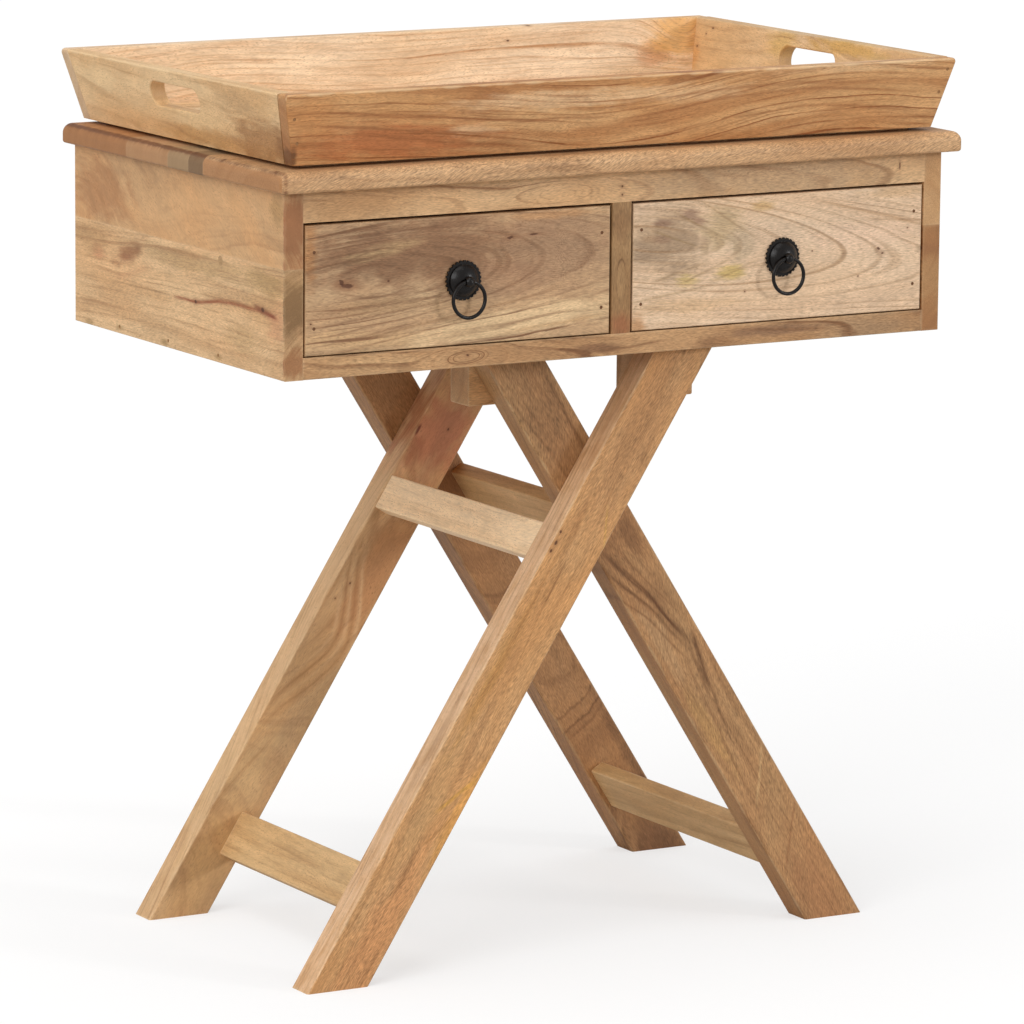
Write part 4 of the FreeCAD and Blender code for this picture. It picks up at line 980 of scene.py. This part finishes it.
@dataclass
class Case:
    """Side panels of two planks, rails, bottom, partition, back and cleats."""

    rear: float = 190.0

    def left_lower(self) -> Board:
        """The lower plank of the left side, with a long crack and a pink blotch.

        Returns:
            The board.
        """
        axes = Axes.of(Lie.LEFT, (0, self.rear, 0))
        tone = WoodTone(0xE2BC8E, 0xD4AA7C, 0xBC9266, 0x986E48)
        red, olive = 0x924E2E, 0xA68658
        return Board(
            "left_side_lower_plank", axes, tone, Patch(104, 586, 34, 10, 0x9E704C, 0.85, 20),
            Patch(45, 580, 16, 7, 0xBE845E, 0.7), Patch(98, 584, 14, 5, 0x8C5A3C, 0.5, 20),
            Patch(120, 592, 9, 5, 0x8A5A3C, 0.5, 30), Patch(230, 592, 130, 10, 0xB09064),
            Patch(30, 590, 40, 16, 0xAA845A), Patch(352, 590, 36, 14, olive, 0.7),
            Patch(340, 566, 40, 14, 0xBE9668, 0.5), Patch(310, 540, 36, 12, 0xB89668, 0.5),
            Patch(85, 520, 8, 3, olive, 0.7), Patch(168, 519, 8, 3, olive, 0.7), Patch(266, 519, 8, 3, olive, 0.7),
            Patch(28, 518, 8, 3, olive), Patch(366, 560, 16, 18, 0xC48E68, 0.6, -50),
            Patch(380, 574, 2.2, 30, 0x705638, 0.95), Patch(380, 528, 2.2, 14, 0x98603C, 0.85),
            Band(212, 560.0, 34, 1.5, red, 0.95, 1), Band(285, 563.5, 76, 1.9, red, 0.98, 3, 4.5, 34),
            Band(348, 567.0, 26, 2.6, 0x7A3A22, 0.95, -10), Band(125, 559, 70, 0.8, 0x8C6840, 0.6, 1),
            Band(110, 570, 40, 3.0, 0xBC8862, 0.4, 14), Dark(225, 560, 2.6, 1.7, 0, 0.6),
            Dark(343, 568.5, 3.6, 2.2, 0, 0.6), heart=(470, 50), lean=(0.05, 0.05), spacing=9, seed=61.0, lines=0.35,
            streaks=0.5, slant=3, rub_and_highlight=0.1, flecks=0.3,
        )

    def boards(self) -> Iterator[Board]:
        """Every other board of the case with its look.

        Yields:
            The boards, one by one.
        """
        left, right = Axes.of(Lie.LEFT, (0, self.rear, 0)), Axes.of(Lie.RIGHT, (0, -self.rear, 0))
        plain = WoodTone(0xD8AC7C, 0xCC9E6E, 0xBC8C5E, 0xA4744A)
        rail = WoodTone(0xDEB688, 0xCEA476, 0xB88E62, 0x906642)
        low = WoodTone(0xC49A6E, 0xB2885E, 0x9E744C, 0x7E5636)
        grey = WoodTone(0xAA865C, 0x9A764E, 0x86623E, 0x68482C)
        edge = WoodTone(0xB07E50, 0xA06C42, 0x8A5A36, 0x6C4428)
        upright = Axes.of(Lie.FRONT_UPRIGHT)
        yield Board(
            "left_side_upper_plank", left, plain, Hill(0, 612, 90, 60, 50), Hill(300, 600, 190, 40, 24),
            Patch(50, 632, 62, 30, 0xAA764C, 0.7), Patch(368, 652, 14, 16, 0xA88456, 0.7),
            Patch(380, 640, 2.2, 44, 0x965838, 0.85), heart=(640, 200), spacing=10, wander=6, seed=64.0, lines=0.2,
            streaks=0.25, bands=0.4, slant=-28, rub_and_highlight=0.1, flecks=0.14, clouds=0.9,
        )
        yield Board(
            "right_side_lower_plank", right, edge, Patch(6, 560, 20, 20, 0xC49868), Dark(5, 585, 4, 3),
            heart=(600, 60), wander=6, seed=67.0, lines=0.5, rub_and_highlight=0.1,
        )
        yield Board("right_side_upper_plank", right, plain, heart=(560, 80), spacing=8, wander=6, seed=71.0, rub_and_highlight=0.1)
        yield Board(
            "top_rail", Axes.of(Lie.FRONT), rail, Hill(-56, 653, 36, 9, -18, 2),
            Patch(150, 655, 140, 22, 0xB89A78, 0.65), Patch(-250, 655, 60, 14, 0xB2865A, 0.5), Dark(0, 655, 1.3, 1.2),
            Dark(0, 648, 1.1, 1.0), Dark(272, 657, 0.8, 4, 0, 0.3), Bars(175, 655, 60, 16, 16, 0.07),
            Bars(110, 655, 30, 14, 9, 0.05), heart=(648, 36), lean=(0, 0.06), spacing=6, seed=74.0, lines=0.5,
            rub_and_highlight=0.0,
        )
        yield Board(
            "bottom_front_plank", Axes.of(Lie.FRONT), low, Hill(-145, 524, 26, 8, -26, 4),
            Patch(-20, 522, 26, 5, 0x7C563A, 0.8), Patch(150, 526, 60, 6, 0x846248, 0.8),
            Patch(240, 524, 50, 12, 0x9C7C5C, 0.7), Patch(-230, 524, 60, 10, 0xC49E72),
            Band(10, 522, 40, 1.2, low.late, 0.7, 4), Band(160, 526, 50, 1.3, low.late, 0.7, -3),
            Dark(-145, 525, 1.6, 1.0), heart=(516, 34), lean=(0, 0.05), spacing=6, seed=77.0, lines=0.8, streaks=0.6,
            flecks=0.42, rub_and_highlight=0.15,
        )
        yield Board("bottom_rear_plank", Axes.of(Lie.TOP), HONEY, seed=79.0, wander=7)
        yield Board(
            "centre_partition", upright, grey, Hill(580, 0, 18, 5, -9), Patch(540, 0, 12, 12, 0x965C3A, 0.7),
            Patch(625, 0, 16, 12, 0x845C3A, 0.5), heart=(2, 20), spacing=4, wander=2, seed=82.0, lines=0.5, rub_and_highlight=0.0,
        )
        yield Board(
            "back_panel", Axes.of(Lie.BACK), CREAM, Hill(-80, 590, 170, 40, 44, 4), Hill(200, 600, 80, 30, 30),
            Dark(205, 602, 5, 3), Dark(-150, 580, 3, 2), heart=(592, 120), spacing=8, wander=6, seed=85.0, lines=0.5,
        )
        yield Board("left_top_cleat", Axes.of(Lie.TOP_FRONT_TO_BACK), CREAM, seed=87.0)
        yield Board("right_top_cleat", Axes.of(Lie.TOP_FRONT_TO_BACK), CREAM, seed=89.0)
        yield Board(
            "left_side_plug", left, GREYISH, Patch(269, 599, 5, 5, 0xA8865C, 0.8), seed=91.0, lines=0.3, rub_and_highlight=0.0,
        )

    def dress(self) -> None:
        """Dress the boards, the nails and the screws."""
        self.left_lower().dress()
        for board in self.boards():
            board.dress()
        FILLED_NAIL.dress("side_nails")
        ZINC_SCREW.dress("cleat_screws")


@dataclass
class LegFrames:
    """Two frames of a front and a rear leg, crossed like an X, with stretchers and blocks."""

    foot: float = 280.0
    width: float = 48.5
    lean: float = math.radians(32.46)
    seed: float = 121.0
    stretcher_seed_step: float = 3.3
    block_seed_step: float = 2.1

    def leg_axes(self, left: bool) -> Axes:
        """Measures from the foot up the leg and from its lower side to its upper side.

        Args:
            left: whether the foot is the left one.

        Returns:
            The axes.
        """
        sine, cosine = math.sin(self.lean), math.cos(self.lean)
        side = 1 if left else -1
        start = (side * (-self.foot + self.width * cosine), 0, -self.width * sine)
        return Axes(start, (side * sine, 0, cosine), (-side * cosine, 0, sine))

    def front_legs(self) -> Iterator[Board]:
        """The honey-coloured left one and the brown, veined right one.

        Yields:
            The two boards.
        """
        honey = WoodTone(0xCB9D6C, 0xBB8B5A, 0xA9794A, 0x8A5E37)
        brown = WoodTone(0xB68B5E, 0xA6794F, 0x936842, 0x6F492B)
        vein = 0x664226
        yield Board(
            "left_frame_front_leg", self.leg_axes(True), honey, Patch(70, 16, 90, 20, 0xD49864, 0.75),
            # Painted light: the pale patch at across 49.5 covers the whole upper side face, painted lighter where
            # light from above falls on it.
            Patch(300, 37, 80, 7, 0xB08248), Patch(300, 49.5, 700, 1.9, 0xDEB892, 0.9),
            Patch(190, 4, 60, 6, 0xCE944A), Patch(540, 24, 100, 34, 0xB08054, 0.65),
            Patch(440, 6, 70, 6, 0xC4905C, 0.5), Patch(180, 30, 60, 14, 0xBC9464, 0.5),
            Band(205, 12, 26, 2.0, 0xBE8E3E, 0.8, -27), Band(172, 12, 22, 1.2, 0xA0703E, 0.6, -22),
            Band(112, 22, 20, 1.0, 0x9E7040, 0.5, -18), Band(350, 36.5, 120, 1.6, 0xA07040),
            Band(398, 26.5, 24, 0.9, 0x704828, 0.8, 3), Band(430, 32, 80, 1.4, 0xA47648, 0.5, 2),
            Band(340, 23, 60, 0.9, 0x96683C, 0.5, 4), Band(455, 6, 26, 1.2, 0xCEA054, 0.6, 28),
            Dark(419, 45, 1.9, 1.4), Dark(427, 44.5, 2.7, 1.5), Dark(437, 45.5, 1.6, 1.4),
            Bars(400, 30, 90, 16, 9, 0.04), heart=(90, 60), lean=(-0.03, 0.05), spacing=10, seed=101.0, clouds=1.0,
            lines=0.3, streaks=0.5, flecks=0.5, slant=-7, rub_and_highlight=0.25, side_flecks=0.3,
        )
        yield Board(
            "right_frame_front_leg", self.leg_axes(False), brown, Hill(340, 30, 60, 24, -12, -14),
            Patch(40, 20, 60, 26, 0x9E704A, 0.7), Patch(235, 12, 50, 8, 0xC0945C),
            Patch(425, 36, 26, 7, 0x845C3A, 0.8), Patch(372, 34, 26, 8, 0x966E48), Patch(330, 12, 50, 9, 0xB89268),
            Patch(540, 24, 70, 30, 0x9C704A, 0.5), Band(372, 20, 78, 3.0, vein, 1.0, -13.3, 3, 26),
            Band(362, 16, 66, 1.7, vein, 0.8, -16, 2, 20), Band(352, 10, 62, 1.1, 0x7C5434, 0.65, -17, 3, 22),
            Band(386, 28, 52, 1.1, 0x7C5434, 0.6, -13), Band(292, 35, 34, 2.8, vein, 0.9, 14),
            Band(262, 27, 60, 1.5, vein, 0.6, 5, 4, 30), Band(250, 20, 60, 1.1, 0x7C5434, 0.5, 4),
            Band(180, 14, 60, 1.2, 0x7C5434, 0.45, 3), Band(108, 30, 34, 1.4, 0x8C5E3A, 0.6, 40),
            Band(172, 32, 30, 1.6, 0xCCA674, 0.6, 38), Band(540, 40, 80, 1.6, vein, 0.5, 2), heart=(-60, 60),
            spacing=10, seed=107.0, clouds=1.0, lines=0.3, streaks=0.4, flecks=0.5, slant=18, rub_and_highlight=0.25,
            side_flecks=0.5,
        )

    def rear_legs(self) -> Iterator[Board]:
        """The left one with large nested arcs, and the dark right one with bands across.

        Yields:
            The two boards.
        """
        tan = WoodTone(0xCFA678, 0xBF9465, 0xAA7D52, 0x865C39)
        dark = WoodTone(0xB4865A, 0xA2754B, 0x8B603C, 0x674329)
        yield Board(
            "left_frame_rear_leg", self.leg_axes(True), tan, Hill(330, 78, 190, 74, 60),
            # Painted light: the pale patch at across 49.5 covers the whole upper side face, painted lighter where
            # light from above falls on it.
            Patch(300, 49.5, 700, 1.9, 0xDCB68A, 0.85), Patch(360, 14, 80, 24, 0xA27048, 0.7),
            Patch(494, 24, 50, 40, 0xAC6C4C, 0.85), Patch(486, 46.5, 6, 1.8, 0x62281A, 0.9),
            Patch(470, 40, 20, 8, 0x965438), Patch(570, 20, 40, 30, 0x8A5C3A), Patch(446, 44, 12, 8, 0xD6A67A),
            Patch(140, 30, 70, 24, 0xCEAA7A), Patch(60, 24, 60, 24, 0xC49C6A),
            Band(292, 49, 88, 2.2, 0xCCA478, 0.6, 0, -24, 44), Band(290, 49, 96, 1.8, 0x8E603C, 0.5, 0, -30, 52),
            Band(288, 49, 104, 2.2, 0xCCA478, 0.6, 0, -36), Band(286, 49, 110, 1.6, 0x92643E, 0.4, 0, -42, 68),
            Band(284, 49, 120, 2.4, 0xCEA87C, 0.55, 0, -48, 78), Band(150, 38, 50, 2.0, 0xA87E52, 0.5, -14),
            Dark(340, 33, 1.2, 0.9), Dark(322, 39, 1.0, 0.8), Dark(500, 20, 1.6, 1.0), heart=(80, 160), spacing=9,
            seed=104.0, clouds=1.0, lines=0.25, streaks=0.35, slant=-8, flecks=0.16, side_flecks=0.5,
        )
        yield Board(
            "right_frame_rear_leg", self.leg_axes(False), dark, Hill(225, 22, 105, 60, 44),
            Patch(24, 24, 34, 26, 0x704C32, 0.7), Patch(110, 44, 90, 6, 0x785436), Bars(180, 24, 60, 40, 13),
            heart=(24, 90), lean=(0, 0.02), spacing=8, wander=5, seed=110.0, clouds=1.0, lines=0.45, slant=6,
            flecks=0.4,
        )

    def stretcher(self, left: bool, upper: bool, seed: float) -> Board:
        """A stretcher, which runs from front to back.

        Args:
            left: whether it is in the left frame.
            upper: whether it is the upper one.
            seed: shifts its figure.

        Returns:
            The board.
        """
        sine, cosine = math.sin(self.lean), math.cos(self.lean)
        side = 1 if left else -1
        name = f"{'left' if left else 'right'}_frame_{'upper' if upper else 'lower'}_stretcher"
        pale = WoodTone(0xFCDEB6, 0xF4D4AA, 0xE8C498, 0xCCA276)
        honey = WoodTone(0xD8B280, 0xCAA270, 0xB88E5E, 0x987248)
        return Board(
            name, Axes((0, 0, 0), (0, side, 0), (side * sine, 0, cosine)), pale if left and upper else honey,
            heart=(400 if upper else 90, 70), spacing=9, seed=seed, lines=0.25, streaks=0.35, flecks=0.14, clouds=0.4,
        )

    def dress(self) -> None:
        """Dress the legs, stretchers, blocks, dowels and screws."""
        for board in (*self.front_legs(), *self.rear_legs()):
            board.dress()
        seed = self.seed
        for left in (True, False):
            for upper in (True, False):
                self.stretcher(left, upper, seed).dress()
                seed += self.stretcher_seed_step
        for side in ("left", "right"):
            for place in ("front", "rear"):
                block = f"{side}_frame_{place}_block"
                Board(block, Axes.of(Lie.FRONT), HONEY, heart=(500, 60), seed=seed, wander=3).dress()
                seed += self.block_seed_step
        Board("stretcher_dowels", Axes.of(Lie.TOP_FRONT_TO_BACK), CREAM, seed=141.0, lines=0.2).dress()
        ZINC_SCREW.dress("frame_screws")


class Side(Enum):
    """Which of the two drawers."""

    LEFT = "left"
    RIGHT = "right"


@dataclass
class Drawer:
    """A drawer with its figured front, plain box and iron ring pull."""

    side: Side
    seed: float
    seed_step: float = 2.7

    def left_face(self) -> Board:
        """The brown front with large ovals over a pale lower edge.

        Returns:
            The board.
        """
        brown, line, pale = 0x906A4C, 0x6E4A32, 0xDEBE92
        tone = WoodTone(0xCCAA82, 0xBA9670, 0xA27E5C, 0x7C583C)
        return Board(
            "left_drawer_front", Axes.of(Lie.FRONT), tone, Hill(-250, 588, 200, 46, -44, 7),
            Patch(-190, 612, 150, 32, brown, 0.95), Patch(-60, 610, 70, 40, 0x9E7C5E, 0.8),
            Patch(-120, 586, 60, 16, 0x9E785A), Patch(-100, 550, 130, 14, pale, 0.85, 6),
            Patch(-250, 544, 70, 10, 0xCEA87A), Patch(-225, 615, 40, 6, 0xBE9C70, 0.7, 10),
            Patch(-292, 620, 8, 40, 0xB07642), Patch(-60, 636, 50, 4, 0xC49262),
            Patch(-230, 570, 60, 8, 0xB08C64, 0.5), Band(-205, 631, 100, 3.0, line, 0.55, 2),
            Band(-215, 572, 90, 1.4, line, 0.5, 4), Band(-230, 563, 80, 1.2, line, 0.5, 7),
            Band(-170, 556, 130, 1.2, 0x8C6846, 0.5, 9), Band(-260, 606, 50, 1.3, line, 0.45, 10),
            Band(-60, 546, 60, 1.4, 0xBE986C, 0.6, 5), Band(-232, 555, 66, 1.0, line, 0.55, 8),
            Band(-236, 548, 60, 0.9, line, 0.5, 9), Band(-226, 541, 70, 0.9, 0x926C4A, 0.5, 9.5),
            Band(-216, 579, 66, 0.9, line, 0.4, 3), Band(-232, 592, 46, 1.0, line, 0.45, 0, 13, 34),
            Band(-232, 587, 46, 1.0, line, 0.4, 0, -9, 34), Band(-222, 596, 66, 1.0, line, 0.4, 0, 21, 48),
            Dark(-257, 589, 7, 2.4, -6, 0.75), Dark(-106, 619, 3.4, 1.5, 8), Dark(-84, 620.5, 5, 0.9),
            Dark(-219, 590.5, 1.4, 0.9), Dark(-290, 560, 1, 0.8), Dark(-262, 592, 2.4, 3.4, 30, 0.3),
            Bars(-56, 600, 7, 26, 3.4, 0.14), Bars(-36, 600, 16, 30, 4.4), Bars(-110, 608, 16, 16, 4.2, 0.05),
            heart=(592, 90), lean=(0, 0), wander=3, seed=201.0, lines=0.7, streaks=0.55, bands=0.4, flecks=0.36,
            rub_and_highlight=0.12,
        )

    def right_face(self) -> Board:
        """The pale front with a grey corner, olive arcs and long tongues.

        Returns:
            The board.
        """
        grey, olive, line = 0xA0866A, 0x8C7046, 0x96704A
        tone = WoodTone(0xE2C4A4, 0xD8B896, 0xC8A482, 0x9C7854)
        return Board(
            "right_drawer_front", Axes.of(Lie.FRONT), tone, Hill(30, 612, 190, 46, -56, -8),
            Patch(44, 606, 44, 34, grey, 0.85), Patch(118, 600, 14, 20, 0xBAA486),
            Patch(96, 616, 22, 20, 0xB89E76, 0.7), Patch(105, 576, 16, 7, 0xC4A860, 0.8),
            Patch(62, 573, 12, 6, 0xC4AA68, 0.7), Patch(135, 631, 14, 5, 0xBE985A), Patch(270, 636, 40, 7, 0xC4A076),
            Patch(240, 600, 60, 14, 0xE8C6A8), Patch(40, 622, 12, 4, 0x886854, 0.8),
            Patch(66, 628, 12, 5, 0x8E6E5A, 0.7), Patch(40, 609, 10, 4, 0x94745E), Patch(74, 622, 7, 4, 0x96705C),
            Patch(14, 536, 12, 12, 0xB8804C, 0.7), Patch(20, 600, 12, 10, 0x927A62, 0.5),
            Patch(60, 552, 60, 7, 0xCEAA80, 0.5), Band(245, 619, 70, 1.4, 0xB08A64, 0.6, -14),
            Band(270, 612, 40, 1.2, line, 0.4, -4), Band(52, 608, 30, 1.2, olive, 0.45, -20),
            Band(55, 580, 30, 1.2, olive, 0.4, 15), Band(80, 616, 36, 1.3, olive, 0.5, -26),
            Band(83, 580, 32, 1.3, olive, 0.4, 20), Band(80, 598, 5, 6, olive, 0.35),
            Band(112, 598, 5, 7, olive, 0.35), Band(106, 620, 36, 1.3, 0x967650, 0.45, -32),
            Band(107, 577, 34, 1.3, 0x967650, 0.35, 20), Band(44, 562, 50, 1.2, olive, 0.45, 7),
            Dark(252, 588, 2.0, 1.1, -30), Dark(256, 584, 1.6, 1.0), Dark(150, 600, 0.9, 0.7),
            Dark(186, 590, 0.8, 0.7), Dark(232, 566, 0.8, 0.7), Dark(120, 560, 0.8, 0.7), Dark(281, 604, 0.8, 0.7),
            heart=(605, 60), lean=(-0.1, 0), spacing=7.5, wander=2.5, seed=204.0, streaks=0.4, bands=0.35, rub_and_highlight=0.12,
        )

    def dress(self) -> None:
        """Dress the front, the box and the pull."""
        name = self.side.value
        face = self.left_face() if self.side is Side.LEFT else self.right_face()
        face.dress()
        boxes = (("left_side", Lie.LEFT), ("right_side", Lie.RIGHT), ("back", Lie.BACK), ("bottom", Lie.TOP))
        for index, (part, lie) in enumerate(boxes):
            seed = self.seed + self.seed_step * index
            Board(f"{name}_drawer_{part}", Axes.of(lie), CREAM, heart=(520, 80), seed=seed, wander=6).dress()
        DARK_NAIL.dress(f"{name}_drawer_nails")
        for part in ("rosette", "knob", "ring"):
            BLACK_IRON.dress(f"{name}_drawer_{part}")
        ZINC_SCREW.dress(f"{name}_drawer_nut")


@dataclass
class Studio:
    """Pale floor, soft daylight and the camera of the photograph."""

    place: tuple[float, float, float] = (-2.6518, -4.5861, 1.2987)
    yaw: float = math.radians(-28.56)
    pitch: float = math.radians(-10.64)
    roll: float = math.radians(0.22)
    focal_pixels: float = 6287.18
    centre_pixels: tuple[float, float] = (343.8, 568.28)
    frame_pixels: float = 1024.0
    sensor: float = 36.0
    clips: tuple[float, float] = (0.1, 200.0)
    floor_size: float = 60.0
    floor_bounce: Colour = (0.6, 0.59, 0.58, 1.0)
    floor_seen: Colour = (0.97, 0.97, 0.97, 1.0)
    floor_glow: float = 0.6
    sky: float = 0.58
    suns: tuple[tuple[float, float, float, float], ...] = (
        (-60.0, 24.0, 1.2, 34.0), (40.0, 14.0, 0.8, 9.0), (-70.0, 76.0, 0.95, 50.0),
    )
    sun_distance: float = 4.0

    def camera(self) -> None:
        """Stand the camera where the photograph was taken."""
        level = math.cos(self.pitch)
        ahead = Vector((-math.sin(self.yaw) * level, math.cos(self.yaw) * level, math.sin(self.pitch)))
        right = ahead.cross(Vector((0, 0, 1))).normalized()
        up = right.cross(ahead)
        tilt = Matrix.Rotation(-self.roll, 3, ahead)
        lens = bpy.data.cameras.new("camera")
        lens.sensor_width, lens.sensor_fit = self.sensor, "HORIZONTAL"
        lens.lens = self.focal_pixels / self.frame_pixels * self.sensor
        lens.shift_x = (self.frame_pixels / 2 - self.centre_pixels[0]) / self.frame_pixels
        lens.shift_y = (self.centre_pixels[1] - self.frame_pixels / 2) / self.frame_pixels
        lens.clip_start, lens.clip_end = self.clips
        holder = bpy.data.objects.new("camera", lens)
        turn = Matrix((tilt @ right, tilt @ up, -ahead)).transposed().to_4x4()
        holder.matrix_world = Matrix.Translation(self.place) @ turn
        bpy.context.scene.collection.objects.link(holder)
        bpy.context.scene.camera = holder

    def floor(self) -> None:
        """A wide pale floor that keeps the table's shadow."""
        half = self.floor_size / 2
        mesh = bpy.data.meshes.new("floor")
        mesh.from_pydata([(-half, -half, 0), (half, -half, 0), (half, half, 0), (-half, half, 0)], [], [(0, 1, 2, 3)])
        piece = bpy.data.objects.new("floor", mesh)
        bpy.context.scene.collection.objects.link(piece)
        material = bpy.data.materials.new("pale_floor")
        recipe = Recipe.of(material)
        seen = recipe.add("ShaderNodeLightPath", {}, "Is Camera Ray")
        colour = recipe.blend(seen, self.floor_bounce, self.floor_seen)
        lit = recipe.add("ShaderNodeBsdfDiffuse", {"Color": colour})
        plain = recipe.add("ShaderNodeEmission", {"Color": (1.0, 1.0, 1.0, 1.0), "Strength": 1.0})
        recipe.finish(recipe.add("ShaderNodeMixShader", {0: seen * self.floor_glow, 1: lit, 2: plain}))
        wear(piece, material)

    def light(self) -> None:
        """An even sky, white to the camera, and soft suns."""
        world = bpy.data.worlds.new("studio")
        recipe = Recipe.of(world)
        seen = recipe.add("ShaderNodeLightPath", {}, "Is Camera Ray").ease(0.0, 1.0, self.sky, 1.0)
        sky = recipe.add("ShaderNodeBackground", {"Color": (1.0, 1.0, 1.0, 1.0), "Strength": seen})
        recipe.finish(sky, "ShaderNodeOutputWorld")
        bpy.context.scene.world = world
        for number, (azimuth, height, strength, softness) in enumerate(self.suns, start=1):
            lamp = bpy.data.lights.new(f"sun_{number}", "SUN")
            lamp.energy, lamp.angle = strength, math.radians(softness)
            holder = bpy.data.objects.new(f"sun_{number}", lamp)
            azimuth, height = math.radians(azimuth), math.radians(height)
            level = math.cos(height)
            towards = Vector((math.sin(azimuth) * level, -math.cos(azimuth) * level, math.sin(height)))
            holder.rotation_euler = towards.to_track_quat("Z", "Y").to_euler()
            holder.location = towards * self.sun_distance
            bpy.context.scene.collection.objects.link(holder)

    def build(self) -> None:
        """Set up floor, light and camera."""
        bpy.context.scene.view_settings.view_transform = "Standard"
        self.floor()
        self.light()
        self.camera()
        LOG.info("studio: floor, sky, %d suns and camera", len(self.suns))


def main() -> None:
    """Dress every sub-assembly in order and set up the studio."""
    logging.basicConfig(level=logging.INFO, format="%(name)s: %(message)s")
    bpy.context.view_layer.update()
    Tray().dress()
    Tabletop().dress()
    Case().dress()
    LegFrames().dress()
    Drawer(Side.LEFT, 151.0).dress()
    Drawer(Side.RIGHT, 171.0).dress()
    Studio().build()


if __name__ == "__main__":
    main()
